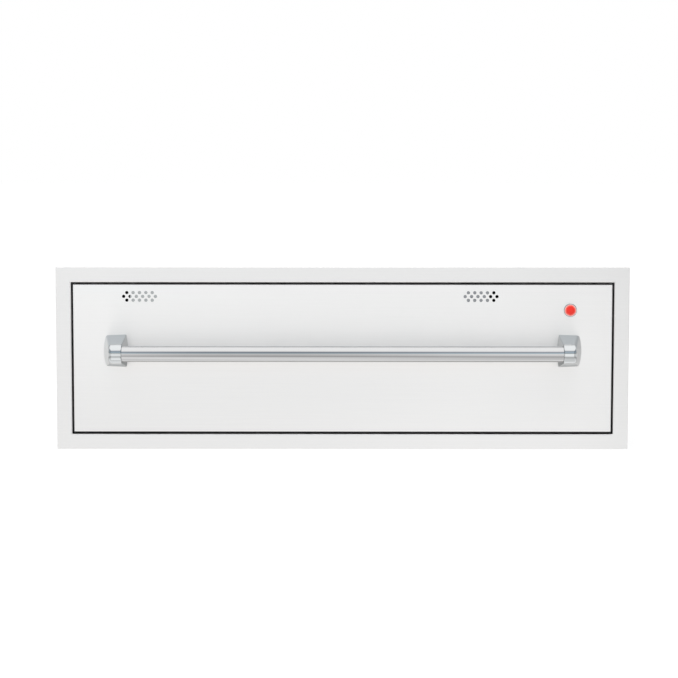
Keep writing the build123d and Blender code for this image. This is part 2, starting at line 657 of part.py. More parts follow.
def make_front_skin():
    """Outer skin of the drawer front: a pan with vent holes, a lamp hole and handle screw holes."""
    pan = block(-DOOR_HALF, DOOR_HALF, DOOR_FRONT, DOOR_BACK - SHEET, DOOR_LOW, DOOR_HIGH)
    pan = fillet(pan.edges().filter_by(Axis.Y), DOOR_EDGE)
    pan = fillet(edges_at(pan, Axis.Y, DOOR_FRONT), DOOR_EDGE * 0.8)
    pan -= block(
        -DOOR_HALF + SHEET, DOOR_HALF - SHEET, SKIN_IN, DOOR_BACK, DOOR_LOW + SHEET, DOOR_HIGH - SHEET
    )
    holes = []
    for vent in VENTS.values():
        for x, z in vent_holes(vent["x"]):
            holes.append(rod((x, DOOR_FRONT - 1, z), (0, 1, 0), VENT_HOLE_RADIUS, SHEET + 2))
    holes.append(rod((LAMP_X, DOOR_FRONT - 1, LAMP_Z), (0, 1, 0), LAMP_BARREL + 0.1, SHEET + 2))
    for side in SIDES.values():
        for sign in (-1, 1):
            start = (side * HANDLE_X, DOOR_FRONT - 1, HANDLE_Z + sign * HANDLE_SCREW_RISE)
            holes.append(rod(start, (0, 1, 0), HANDLE_SCREW_HOLE, SHEET + 2))
    return pan - Compound(children=holes)


def arm_x(vent):
    """Middle of a shutter's arm at rest, from the middle of its group of holes."""
    return vent["opens"] * vent["closed"]


def make_front_liner():
    """Back of the drawer front, with a slot for each vent slider."""
    liner = block(-DOOR_HALF, DOOR_HALF, DOOR_BACK - SHEET, DOOR_BACK, DOOR_LOW, DOOR_HIGH)
    liner = fillet(liner.edges().filter_by(Axis.Y), DOOR_EDGE)
    half = DOOR_HALF - SHEET - 0.1
    low, high = DOOR_LOW + SHEET + 0.1, DOOR_HIGH - SHEET - 0.1
    lip = block(-half, half, DOOR_BACK - 12, DOOR_BACK - SHEET, low, high)
    lip -= block(-half + THIN, half - THIN, DOOR_BACK - 13, DOOR_BACK - SHEET, low + THIN, high - THIN)
    liner += lip
    for vent in VENTS.values():
        reach = vent["closed"] + vent["open"]
        ends = sorted((vent["x"] - vent["opens"] * 7, vent["x"] + vent["opens"] * (reach + 7)))
        liner -= block(*ends, DOOR_BACK - 2, DOOR_BACK + 1, VENT_Z - 3, VENT_Z + 3)
    liner -= rod((THERMOSTAT_X, DOOR_BACK - 3, THERMOSTAT_Z), (0, 1, 0), THERMOSTAT_SHAFT + 1.5, 5)
    liner -= rod((THERMOSTAT_X + SENSOR_DX, DOOR_BACK - 3, SENSOR_Z), (0, 1, 0), 1.6, 5)
    liner -= rod((HARNESS_X, DOOR_BACK - 3, HARNESS_Z), (0, 1, 0), HARNESS_RADIUS + 1, 5)
    for x in DOOR_SCREW_X:
        for z in DOOR_SCREW_Z:
            liner -= rod((x, DOOR_BACK - 3, z), (0, 1, 0), SCREW_HOLE, 5)
    return liner


def make_front_insulation():
    """Mineral wool slab in the drawer front, below the vents and the controls."""
    half = DOOR_HALF - 6
    slab = block(-half, half, DOOR_FRONT + 6, DOOR_BACK - 3, DOOR_LOW + 3, LAMP_Z - 14)
    slab -= block(HARNESS_X - 4, HARNESS_X + 4, DOOR_FRONT + 19, DOOR_BACK, DOOR_LOW, LAMP_Z)
    for x in DOOR_SCREW_X:
        for z in DOOR_SCREW_Z:
            slab -= rod((x, DOOR_BACK, z), (0, -1, 0), 3.0, 12)
    for side in SIDES.values():  # room for the handle screws' heads
        for sign in (-1, 1):
            start = (side * HANDLE_X, DOOR_FRONT, HANDLE_Z + sign * HANDLE_SCREW_RISE)
            slab -= rod(start, (0, 1, 0), HANDLE_SCREW["head_radius"] + 1, 8)
    return slab


def make_door_gasket():
    """Silicone seal round the back of the drawer front."""
    half, low, high = DOOR_HALF - 0.7, DOOR_LOW + 0.7, DOOR_HIGH - 0.7
    width = 8.5
    ring = block(-half, half, DOOR_BACK, DOOR_BACK + 3, low, high)
    ring = fillet(ring.edges().filter_by(Axis.Y), 6)
    hole = block(-half + width, half - width, DOOR_BACK - 1, DOOR_BACK + 4, low + width, high - width)
    ring -= fillet(hole.edges().filter_by(Axis.Y), 4)
    return fillet(edges_at(ring, Axis.Y, DOOR_BACK + 3), 1.4)


# ---- handle --------------------------------------------------------------------------------------------
# Distances across a bracket are from the middle of its foot: inner is towards the bar, outer away from it.

SOCKET_MOUTH = 15.2  # to the inner side where the bar goes in
FOOT_INNER, FOOT_OUTER = 19.7, 21.4
NOSE_INNER, NOSE_OUTER = 15.4, 5.1
FOOT_INNER_BOW, FOOT_OUTER_BOW = 135.0, 84.0  # radii of the bowed sides
NOSE_INNER_BOW, NOSE_OUTER_BOW = 400.0, 76.0
INNER_FOOT_RISE, OUTER_FOOT_RISE = 28.0, 25.5  # half the foot's height, beyond its inner and outer sides
BRACKET_SPAN = 30.0  # to the two side views that the bracket is lofted between
BRACKET_INNER_EDGE = 1.8
BRACKET_OUTER_EDGE = 5.0


def make_handle_bar():
    """Round tube between the two brackets."""
    reach = HANDLE_X - SOCKET_MOUTH + BAR_SOCKET - 0.2
    bar = rod((-reach, BAR_Y, HANDLE_Z), (1, 0, 0), BAR_RADIUS, 2 * reach)
    return bar - rod((-reach - 1, BAR_Y, HANDLE_Z), (1, 0, 0), BAR_RADIUS - BAR_WALL, 2 * reach + 2)


def bowed_arc(x_middle, y, radius, half_height, bow):
    """Upright arc, bowed towards +X or -X, from its low end to its high end."""
    sagitta = radius - math.sqrt(radius**2 - half_height**2)
    x_end = x_middle - bow * sagitta
    low_end = (x_end, y, HANDLE_Z - half_height)
    high_end = (x_end, y, HANDLE_Z + half_height)
    return ThreePointArc(low_end, (x_middle, y, HANDLE_Z), high_end)


def bracket_plan(y, to_inner, inner_radius, to_outer, outer_radius):
    """Section of the bracket's two bowed sides at one depth, taller than the bracket."""
    half_height = INNER_FOOT_RISE + 6
    inner = bowed_arc(HANDLE_X - to_inner, y, inner_radius, half_height, -1)
    outer = bowed_arc(HANDLE_X + to_outer, y, outer_radius, half_height, 1)
    return Wire([inner, Line(inner @ 1, outer @ 1), outer, Line(outer @ 0, inner @ 0)])


def bracket_profile(x, foot_rise):
    """Side view of the bracket: a wide foot and straight flanks that meet a half-round nose."""
    axis_y = DOOR_FRONT - HANDLE_REACH + NOSE_RADIUS
    edge_y = axis_y - math.sqrt(NOSE_RADIUS**2 - NOSE_RISE**2)
    low_edge = (x, edge_y, HANDLE_Z - NOSE_RISE)
    high_edge = (x, edge_y, HANDLE_Z + NOSE_RISE)
    low_foot = (x, DOOR_FRONT, HANDLE_Z - foot_rise)
    high_foot = (x, DOOR_FRONT, HANDLE_Z + foot_rise)
    nose = ThreePointArc(low_edge, (x, DOOR_FRONT - HANDLE_REACH, HANDLE_Z), high_edge)
    return Wire([Line(low_foot, low_edge), nose, Line(high_edge, high_foot), Line(high_foot, low_foot)])


def is_side_edge(edge):
    """Whether an edge borders one of the bowed sides, away from the foot."""
    middle = edge.center()
    on_foot = middle.Y > DOOR_FRONT - 1
    on_crease = middle.Y < DOOR_FRONT - 0.75 * HANDLE_REACH and abs(middle.Z - HANDLE_Z) > NOSE_RISE / 2
    return not on_foot and not on_crease


def is_outer(edge):
    """Whether an edge is on the bracket's outer side."""
    return edge.center().X > HANDLE_X


def make_handle_bracket(side):
    """Cast bracket: a block that tapers from a wide foot to a small half-round nose."""
    inner_profile = bracket_profile(HANDLE_X - BRACKET_SPAN, INNER_FOOT_RISE)
    outer_profile = bracket_profile(HANDLE_X + BRACKET_SPAN, OUTER_FOOT_RISE)
    foot = bracket_plan(DOOR_FRONT + 1, FOOT_INNER, FOOT_INNER_BOW, FOOT_OUTER, FOOT_OUTER_BOW)
    nose_y = DOOR_FRONT - HANDLE_REACH - 1
    nose = bracket_plan(nose_y, NOSE_INNER, NOSE_INNER_BOW, NOSE_OUTER, NOSE_OUTER_BOW)
    body = Part() + Solid.make_loft([inner_profile, outer_profile], ruled=True)
    body &= Solid.make_loft([foot, nose], ruled=True)
    body = fillet([e for e in body.edges() if is_side_edge(e) and not is_outer(e)], BRACKET_INNER_EDGE)
    body = fillet([e for e in body.edges() if is_side_edge(e) and is_outer(e)], BRACKET_OUTER_EDGE)
    socket_start = (HANDLE_X - BRACKET_SPAN, BAR_Y, HANDLE_Z)
    socket_length = BRACKET_SPAN - SOCKET_MOUTH + BAR_SOCKET
    body -= rod(socket_start, (1, 0, 0), BAR_RADIUS + 0.05, socket_length)
    for sign in (-1, 1):
        start = (HANDLE_X, DOOR_FRONT + 1, HANDLE_Z + sign * HANDLE_SCREW_RISE)
        body -= rod(start, (0, -1, 0), 3.0, 15)
    return body if side > 0 else mirror(body, about=Plane.YZ)


def make_handle_screws():
    """Screws that hold the brackets from inside the drawer front."""
    screws = []
    for side in SIDES.values():
        for sign in (-1, 1):
            seat = (side * HANDLE_X, SKIN_IN, HANDLE_Z + sign * HANDLE_SCREW_RISE)
            screws.append(screw(seat, (0, 1, 0), **HANDLE_SCREW))
    return Compound(children=screws)


# ---- indicator lamp ------------------------------------------------------------------------------------


def make_indicator_bezel():
    """Polished bezel with its barrel through the drawer front."""
    bezel = rod((LAMP_X, DOOR_FRONT, LAMP_Z), (0, -1, 0), LAMP_BEZEL_RADIUS, BEZEL_HEIGHT)
    bezel = fillet(edges_at(bezel, Axis.Y, DOOR_FRONT - BEZEL_HEIGHT), 0.9)
    bezel += rod((LAMP_X, DOOR_FRONT - 0.5, LAMP_Z), (0, 1, 0), LAMP_BARREL, LAMP_BARREL_LENGTH)
    return bezel - rod((LAMP_X, LENS_SEAT_Y, LAMP_Z), (0, -1, 0), LAMP_LENS_RADIUS, BEZEL_HEIGHT)


def make_indicator_lens():
    """Domed red lens."""
    base = rod((LAMP_X, LENS_SEAT_Y, LAMP_Z), (0, -1, 0), LAMP_LENS_RADIUS - 0.1, LENS_HEIGHT)
    dome = Pos(LAMP_X, LENS_SEAT_Y - LENS_HEIGHT + LENS_DOME_RADIUS, LAMP_Z) * Sphere(LENS_DOME_RADIUS)
    return base & dome


def make_indicator_nut():
    """Nut that clamps the lamp behind the skin."""
    hexagon = extrude(RegularPolygon(LAMP_NUT_RADIUS, 6), 3.5)
    nut = Plane(origin=(LAMP_X, SKIN_IN, LAMP_Z), z_dir=(0, 1, 0)) * hexagon
    return nut - rod((LAMP_X, SKIN_IN - 1, LAMP_Z), (0, 1, 0), LAMP_BARREL + 0.05, 6)


# ---- vents ---------------------------------------------------------------------------------------------


def make_vent_guides():
    """Two rails behind the skin for each shutter."""
    rails = []
    for vent in VENTS.values():
        shut_end = vent["x"] - vent["opens"] * (SHUTTER_WIDTH / 2 + 3)
        open_end = vent["x"] + vent["opens"] * (SHUTTER_WIDTH / 2 + vent["closed"] + vent["open"] + 3)
        ends = sorted((shut_end, open_end))
        for sign in (-1, 1):
            outer_z = VENT_Z + sign * GUIDE_HALF_HEIGHT
            spacer = sorted((VENT_Z + sign * (SHUTTER_HALF_HEIGHT + 0.3), outer_z))
            lip = sorted((VENT_Z + sign * (SHUTTER_HALF_HEIGHT - 1.5), outer_z))
            lip_y = SKIN_IN + GUIDE_SPACER
            rail = block(*ends, SKIN_IN, lip_y, *spacer)
            rails.append(rail + block(*ends, lip_y, lip_y + THIN, *lip))
    return Compound(children=rails)


def shutter_arm(vent, start_y):
    """The shutter's arm, from a depth back to its end in the finger tab."""
    middle = vent["x"] + arm_x(vent)
    ends = (middle - ARM_HALF_WIDTH, middle + ARM_HALF_WIDTH)
    return block(*ends, start_y, DOOR_BACK + 6, VENT_Z - ARM_HALF_THICKNESS, VENT_Z + ARM_HALF_THICKNESS)


def make_vent_shutter(vent):
    """Sliding plate behind the holes, with an arm back to the finger tab."""
    middle = vent["x"] + arm_x(vent)
    plate = block(
        middle - SHUTTER_WIDTH / 2,
        middle + SHUTTER_WIDTH / 2,
        SHUTTER_IN - THIN,
        SHUTTER_IN,
        VENT_Z - SHUTTER_HALF_HEIGHT,
        VENT_Z + SHUTTER_HALF_HEIGHT,
    )
    return plate + shutter_arm(vent, SHUTTER_IN)


def make_vent_tab(vent):
    """Finger tab on the end of the shutter's arm."""
    middle = vent["x"] + arm_x(vent)
    tab = block(middle - 9, middle + 9, DOOR_BACK + 3, DOOR_BACK + 14, VENT_Z - 5, VENT_Z + 5)
    tab = fillet(tab.edges().filter_by(Axis.Y), 3)
    tab = fillet(edges_at(tab, Axis.Y, DOOR_BACK + 14), 2)
    return tab - shutter_arm(vent, DOOR_BACK + 2)


# ---- thermostat ----------------------------------------------------------------------------------------

THERMOSTAT_HALF = 18.0
THERMOSTAT_HALF_HEIGHT = 15.0
THERMOSTAT_FRONT = 6.0
THERMOSTAT_TAB = 5.0
KNOB_RADIUS = 15.0
KNOB_START = DOOR_BACK + 2.2
KNOB_DEPTH = 16.0
KNOB_SKIRT = 4.0
KNOB_FLUTES = 12
KNOB_FLUTE_RADIUS = 2.8
KNOB_BORE = 12.0
DIAL_HALF_WIDTH = 27.0
DIAL_SHEET = 0.8
SENSOR_RADIUS = 1.2
BULB_RADIUS = 3.5
BULB_LENGTH = 90.0
BULB_Z = 130.0
CLIP_DX = (-70.0, -130.0)  # from the thermostat's shaft
CLIP_WIDTH = 8.0
CLIP_BAND = 0.9


def make_thermostat_body():
    """Thermostat with its OFF switch, on the back of the liner."""
    x, z = THERMOSTAT_X, THERMOSTAT_Z
    back = DOOR_BACK - SHEET
    rises = (z - THERMOSTAT_HALF_HEIGHT, z + THERMOSTAT_HALF_HEIGHT)
    body = block(x - THERMOSTAT_HALF, x + THERMOSTAT_HALF, THERMOSTAT_FRONT, back, *rises)
    body = fillet(body.edges().filter_by(Axis.Y), 3)
    body += rod((x, back, z), (0, 1, 0), THERMOSTAT_SHAFT + 1.3, SHEET)
    body -= rod((x, back - 6, z), (0, 1, 0), THERMOSTAT_SHAFT + 0.05, 10)
    for dx in (-9, 9):
        tab_front = THERMOSTAT_FRONT - THERMOSTAT_TAB
        body += block(x + dx - 3, x + dx + 3, tab_front, THERMOSTAT_FRONT, z + 5, z + 5.8)
    return body


def make_thermostat_dial():
    """Dial plate behind the knob."""
    x, z = THERMOSTAT_X, THERMOSTAT_Z
    ends = (x - DIAL_HALF_WIDTH, x + DIAL_HALF_WIDTH)
    plate = block(*ends, DOOR_BACK, DOOR_BACK + DIAL_SHEET, DRAWER_RIM + 3, RIM_HIGH - 1.5)
    plate = fillet(plate.edges().filter_by(Axis.Y), 4)
    plate -= rod((x + SENSOR_DX, DOOR_BACK - 1, SENSOR_Z), (0, 1, 0), 3.5, 3)
    return plate - rod((x, DOOR_BACK - 1, z), (0, 1, 0), THERMOSTAT_SHAFT + 0.5, 3)


def make_thermostat_knob():
    """Fluted knob on the thermostat's shaft, with a raised pointer."""
    x, z = THERMOSTAT_X, THERMOSTAT_Z
    skirt_end = KNOB_START + KNOB_SKIRT
    end = KNOB_START + KNOB_DEPTH
    knob = rod((x, KNOB_START, z), (0, 1, 0), KNOB_RADIUS, KNOB_SKIRT)
    grip = rod((x, skirt_end, z), (0, 1, 0), KNOB_RADIUS - 2, KNOB_DEPTH - KNOB_SKIRT)
    grip = fillet(edges_at(grip, Axis.Y, end), 1.5)
    for i in range(KNOB_FLUTES):
        turn = 2 * math.pi * i / KNOB_FLUTES
        start = (x + KNOB_RADIUS * math.cos(turn), skirt_end, z + KNOB_RADIUS * math.sin(turn))
        grip -= rod(start, (0, 1, 0), KNOB_FLUTE_RADIUS, KNOB_DEPTH)
    knob = fillet(edges_at(knob, Axis.Y, skirt_end), 0.8) + grip
    knob += block(x - 0.9, x + 0.9, end - 1, end + 0.8, z + 2, z + KNOB_RADIUS - 3.5)
    return knob - rod((x, KNOB_START - 1, z), (0, 1, 0), THERMOSTAT_SHAFT, KNOB_BORE)


def make_thermostat_shaft():
    """Shaft that the knob turns."""
    start = DOOR_BACK - SHEET - 5.5
    end = KNOB_START - 1 + KNOB_BORE
    return rod((THERMOSTAT_X, start, THERMOSTAT_Z), (0, 1, 0), THERMOSTAT_SHAFT, end - start)


def make_thermostat_sensor():
    """Capillary from the thermostat over the tub's rim, with the sensing bulb on the tub's front wall."""
    x = THERMOSTAT_X + SENSOR_DX
    bulb_y = TUB_FRONT + 5
    route = [
        (x, DOOR_BACK - 8, SENSOR_Z),
        (x, bulb_y, SENSOR_Z),
        (x, bulb_y, BULB_Z),
        (x - 30, bulb_y, BULB_Z),
    ]
    capillary = tube_along(route, 4.5, SENSOR_RADIUS)
    bulb = rod((x - 28, bulb_y, BULB_Z), (-1, 0, 0), BULB_RADIUS, BULB_LENGTH)
    return capillary + fillet(bulb.edges().filter_by(GeomType.CIRCLE), 1.5)


def make_sensor_clips():
    """Clips that hold the bulb to the tub's wall."""
    clips = []
    bulb_y = TUB_FRONT + 5
    for dx in CLIP_DX:
        low_x = THERMOSTAT_X + dx
        high_x = low_x + CLIP_WIDTH
        band = rod((low_x, bulb_y, BULB_Z), (1, 0, 0), BULB_RADIUS + CLIP_BAND, CLIP_WIDTH)
        band += block(low_x, high_x, TUB_FRONT, TUB_FRONT + CLIP_BAND, BULB_Z - 14, BULB_Z + 3)
        band += block(low_x, high_x, TUB_FRONT, bulb_y - BULB_RADIUS + 1, BULB_Z - 1.5, BULB_Z + 1.5)
        bore_start = (low_x - 1, bulb_y, BULB_Z)
        clips.append(band - rod(bore_start, (1, 0, 0), BULB_RADIUS + 0.02, CLIP_WIDTH + 2))
    return Compound(children=clips)


# ---- drawer box ----------------------------------------------------------------------------------------

TERMINAL_X = (-70.0, 116.0)
TERMINAL_Z = (22.0, 88.0)
HEATER_EXIT_X = 40.0
HARNESS_EXIT_X = 95.0
HARNESS_BACK_Y = 472.8
UNDER_WOOL_HALF = 404.0
SIDE_WOOL_Y = (60.0, 450.0)


def make_drawer_shell():
    """Outer box of the drawer, open at the top."""
    shell = block(-DRAWER_HALF, DRAWER_HALF, DOOR_BACK, DRAWER_BACK, DRAWER_LOW, DRAWER_RIM - THIN)
    shell -= block(
        -DRAWER_HALF + SHEET,
        DRAWER_HALF - SHEET,
        DOOR_BACK + SHEET,
        DRAWER_BACK - SHEET,
        DRAWER_LOW + SHEET,
        DRAWER_RIM,
    )
    holes = [rod((HARNESS_X, DOOR_BACK - 1, HARNESS_Z), (0, 1, 0), HARNESS_RADIUS + 1, 4)]
    holes.append(rod((HARNESS_EXIT_X, DRAWER_BACK - 3, HARNESS_Z), (0, 1, 0), HARNESS_RADIUS + 1, 5))
    for sign in (-1, 1):
        holes.append(rod((sign * HEATER_EXIT_X, DRAWER_BACK - 3, HEATER_Z), (0, 1, 0), GLAND_RADIUS + 0.1, 5))
        for y in SLIDE_SCREW_Y:
            holes.append(rod((sign * (DRAWER_HALF + 1), y, SLIDE_Z), (-sign, 0, 0), SCREW_HOLE, 4))
    for x in DOOR_SCREW_X:
        for z in DOOR_SCREW_Z:
            holes.append(rod((x, DOOR_BACK - 1, z), (0, 1, 0), SCREW_HOLE, 4))
    return shell - Compound(children=holes)


def rounded_tub(half, front, back, low, high, corner, bend):
    """A block with rounded upright corners and a rounded bottom edge."""
    shape = block(-half, half, front, back, low, high)
    shape = fillet(shape.edges().filter_by(Axis.Z), corner)
    return fillet(edges_at(shape, Axis.Z, low), bend)


def make_drawer_tub():
    """Inner tub, with a rim that covers the shell."""
    tub = rounded_tub(
        TUB_HALF + THIN,
        TUB_FRONT - THIN,
        TUB_BACK + THIN,
        TUB_FLOOR - THIN,
        DRAWER_RIM,
        TUB_CORNER + THIN,
        TUB_FLOOR_BEND + THIN,
    )
    rim = block(-DRAWER_HALF, DRAWER_HALF, DOOR_BACK, DRAWER_BACK, DRAWER_RIM - THIN, DRAWER_RIM)
    tub += fillet(rim.edges().filter_by(Axis.Z), 2)
    tub -= rounded_tub(TUB_HALF, TUB_FRONT, TUB_BACK, TUB_FLOOR, DRAWER_RIM + 30, TUB_CORNER, TUB_FLOOR_BEND)
    mouth = [
        e
        for e in edges_at(tub, Axis.Z, DRAWER_RIM)
        if abs(e.center().X) < TUB_HALF + 1 and TUB_FRONT - 1 < e.center().Y < TUB_BACK + 1
    ]
    tub = fillet(mouth, 0.8)
    for sign in (-1, 1):
        tub -= rod((sign * HEATER_EXIT_X, TUB_BACK - 2, HEATER_Z), (0, 1, 0), GLAND_RADIUS + 0.1, 5)
    return tub


def make_tub_insulation():
    """Mineral wool under and beside the tub."""
    low = DRAWER_LOW + SHEET
    half = UNDER_WOOL_HALF
    under = block(-half, half, DOOR_BACK + SHEET + 2, TUB_BACK - 1, low, TUB_FLOOR - THIN - 0.3)
    under -= block(HARNESS_X - 4, HARNESS_X + 4, DOOR_BACK, TUB_BACK, low - 1, TUB_FLOOR)
    pieces = [under]
    for side in SIDES.values():
        inside, outside = TUB_HALF + THIN + 0.3, DRAWER_HALF - SHEET - 3.2
        pieces.append(side_block(side, inside, outside, *SIDE_WOOL_Y, TUB_FLOOR + 4, DRAWER_RIM - THIN - 3))
    return Compound(children=pieces)


def make_drawer_screws():
    """Screws of the slides and of the drawer front, driven from inside the shell."""
    fixing = {"head_radius": 3.6, "head_height": 2.6, "shank_radius": 1.9, "shank_length": 4.5}
    screws = []
    for side in SIDES.values():
        for y in SLIDE_SCREW_Y:
            screws.append(screw((side * (DRAWER_HALF - SHEET), y, SLIDE_Z), (-side, 0, 0), **fixing))
    for x in DOOR_SCREW_X:
        for z in DOOR_SCREW_Z:
            screws.append(screw((x, DOOR_BACK + SHEET, z), (0, 1, 0), **fixing))
    return Compound(children=screws)


# ---- heater --------------------------------------------------------------------------------------------

GLAND_RADIUS = 6.0
HEATER_BEND = 36.0
HEATER_REACH = 370.0
HEATER_ROWS = (400.0, 300.0, 200.0, 112.0)
HEATER_GAP = 50.0
SUPPORT_PLACES = [(x, y) for x in (-290.0, -150.0, 150.0, 290.0) for y in (112.0, 400.0)]
SUPPORT_HALF_WIDTH = 6.0
COVER_CORNER = 12.0
COVER_SLOTS_ACROSS, COVER_SLOTS_BACK = 12, 12
COVER_SLOT_LENGTH, COVER_SLOT_WIDTH = 40.0, 6.0
COVER_WINDOWS = 8
COVER_WINDOW_HALF = 25.0


def heater_route():
    """The element's line, from its right-hand terminal round to its left-hand one."""
    back, second, third, front = HEATER_ROWS
    right = [
        (HEATER_EXIT_X, DRAWER_BACK + 6),
        (HEATER_EXIT_X, back),
        (HEATER_REACH, back),
        (HEATER_REACH, second),
        (HEATER_GAP, second),
        (HEATER_GAP, third),
        (HEATER_REACH, third),
        (HEATER_REACH, front),
    ]
    left = [(-x, y) for x, y in reversed(right)]
    return [(x, y, HEATER_Z) for x, y in right + left]


def make_heater_element():
    """Tubular heating element, bent to and fro across the tub."""
    return tube_along(heater_route(), HEATER_BEND, HEATER_RADIUS)


def make_heater_glands():
    """Glands that seal the element's ends through the tub and the shell."""
    glands = []
    for sign in (-1, 1):
        x = sign * HEATER_EXIT_X
        gland = rod((x, TUB_BACK - 6, HEATER_Z), (0, 1, 0), GLAND_RADIUS, DRAWER_BACK + 2 - TUB_BACK + 6)
        hexagon = Plane(origin=(x, TUB_BACK - 5, HEATER_Z), z_dir=(0, 1, 0)) * RegularPolygon(8, 6)
        gland += extrude(hexagon, 5)
        glands.append(gland - rod((x, TUB_BACK - 8, HEATER_Z), (0, 1, 0), HEATER_RADIUS + 0.02, 40))
    return Compound(children=glands)


def make_heater_supports():
    """Feet that hold the element off the tub's floor."""
    supports = []
    for x, y in SUPPORT_PLACES:
        low_x, high_x = x - SUPPORT_HALF_WIDTH, x + SUPPORT_HALF_WIDTH
        width = high_x - low_x
        foot = block(low_x, high_x, y - 12, y + 12, TUB_FLOOR, TUB_FLOOR + THIN)
        post = block(low_x, high_x, y - 1.0, y + 1.0, TUB_FLOOR, HEATER_Z - HEATER_RADIUS - 0.5)
        saddle = rod((low_x, y, HEATER_Z), (1, 0, 0), HEATER_RADIUS + 1.2, width)
        saddle -= rod((low_x - 1, y, HEATER_Z), (1, 0, 0), HEATER_RADIUS + 0.05, width + 2)
        saddle -= block(low_x - 1, high_x + 1, y - 10, y + 10, HEATER_Z + 1, HEATER_Z + 10)
        supports.append(foot + post + saddle)
    return Compound(children=supports)


def make_heater_cover():
    """Slotted cover over the element, standing on its folded edges."""
    half, front, back = TUB_HALF - 12, TUB_FRONT + 14, TUB_BACK - 12
    cover = block(-half, half, front, back, TUB_FLOOR, COVER_TOP)
    cover = fillet(cover.edges().filter_by(Axis.Z), COVER_CORNER)
    cover = fillet(edges_at(cover, Axis.Z, COVER_TOP), 2.0)
    inside = block(-half + THIN, half - THIN, front + THIN, back - THIN, TUB_FLOOR - 1, COVER_TOP - THIN)
    inside = fillet(inside.edges().filter_by(Axis.Z), COVER_CORNER - THIN)
    cover -= fillet(edges_at(inside, Axis.Z, COVER_TOP - THIN), 1.0)
    slots = []
    slot = extrude(SlotOverall(COVER_SLOT_LENGTH, COVER_SLOT_WIDTH), 4)
    for column, x in enumerate(grid(-half + 48, half - 48, COVER_SLOTS_ACROSS)):
        shift = 12 * (column % 2)
        for y in grid(front + 34, back - 46, COVER_SLOTS_BACK):
            slots.append(Pos(x, y + shift, COVER_TOP - 2) * slot)
    cover -= Compound(children=slots)
    windows = []
    for x in grid(-half + 60, half - 60, COVER_WINDOWS):
        ends = (x - COVER_WINDOW_HALF, x + COVER_WINDOW_HALF)
        windows.append(block(*ends, front - 1, back + 1, TUB_FLOOR + 8, TUB_FLOOR + 20))
    for sign in (-1, 1):
        windows.append(rod((sign * HEATER_EXIT_X, back - 3, HEATER_Z), (0, 1, 0), HEATER_RADIUS + 1.5, 6))
    return cover - Compound(children=windows)


# ---- rack ----------------------------------------------------------------------------------------------

RACK_Z = 92.0
RACK_WIRE = 1.6
RACK_RAIL = 2.6
RACK_CORNER = 22.0
RACK_WIRES = 23
RACK_STAY = 2.0  # radius of the two stays under the wires


def make_food_rack():
    """Wire rack over the heater cover."""
    half, front, back = TUB_HALF - 26, TUB_FRONT + 28, TUB_BACK - 26
    mid_y = (front + back) / 2
    outline = RectangleRounded(2 * half, back - front, RACK_CORNER).wire()
    path = Pos(0, mid_y, RACK_Z) * outline
    section = Plane(origin=path @ 0, z_dir=path % 0) * Circle(RACK_RAIL)
    rack = sweep(section, path=path)
    wires = []
    for x in grid(-half + 32, half - 32, RACK_WIRES):
        wires.append(rod((x, front, RACK_Z), (0, 1, 0), RACK_WIRE, back - front))
    for x in (-half * 0.62, half * 0.62):
        for y in (front, back):
            wires.append(rod((x, y, COVER_TOP), (0, 0, 1), RACK_RAIL, RACK_Z - COVER_TOP))
    for y in (front + 110, back - 110):
        wires.append(rod((-half, y, RACK_Z - 3), (1, 0, 0), RACK_STAY, 2 * half))
    return rack.fuse(*wires)


# ---- drawer wiring -------------------------------------------------------------------------------------


def make_terminal_cover():
    """Cover over the element's terminals on the back of the drawer."""
    cover = block(*TERMINAL_X, DRAWER_BACK, TERMINAL_BACK, *TERMINAL_Z)
    cover = fillet(cover.edges().filter_by(Axis.Y), 4)
    cover = fillet(edges_at(cover, Axis.Y, TERMINAL_BACK), 1.0)
    inside = block(
        TERMINAL_X[0] + THIN,
        TERMINAL_X[1] - THIN,
        DRAWER_BACK - 1,
        TERMINAL_BACK - THIN,
        TERMINAL_Z[0] + THIN,
        TERMINAL_Z[1] - THIN,
    )
    cover -= fillet(inside.edges().filter_by(Axis.Y), 3)
    return cover - rod((LEAD_X, TERMINAL_BACK - 3, LEAD_Z), (0, 1, 0), LEAD_RADIUS + 0.1, 5)


def make_wire_harness():
    """Wires from the thermostat under the tub to the terminals, and from the lamp to the thermostat."""
    supply_route = [
        (HARNESS_X, HARNESS_FRONT_Y, THERMOSTAT_Z - THERMOSTAT_HALF_HEIGHT),
        (HARNESS_X, HARNESS_FRONT_Y, HARNESS_Z),
        (HARNESS_X, HARNESS_BACK_Y, HARNESS_Z),
        (HARNESS_EXIT_X, HARNESS_BACK_Y, HARNESS_Z),
        (HARNESS_EXIT_X, DRAWER_BACK + 5, HARNESS_Z),
    ]
    lamp_back = DOOR_FRONT - 0.5 + LAMP_BARREL_LENGTH
    lamp_route = [
        (LAMP_X, lamp_back, LAMP_Z),
        (LAMP_X, lamp_back + LAMP_LEAD_RUN, LAMP_Z),
        (THERMOSTAT_X + THERMOSTAT_HALF, lamp_back + LAMP_LEAD_RUN, LAMP_Z),
    ]
    supply = tube_along(supply_route, [12.0, 12.0, 5.0], HARNESS_RADIUS)
    return Compound(children=[supply, tube_along(lamp_route, 4, LAMP_LEAD_RADIUS)])


# ---- every node ----------------------------------------------------------------------------------------


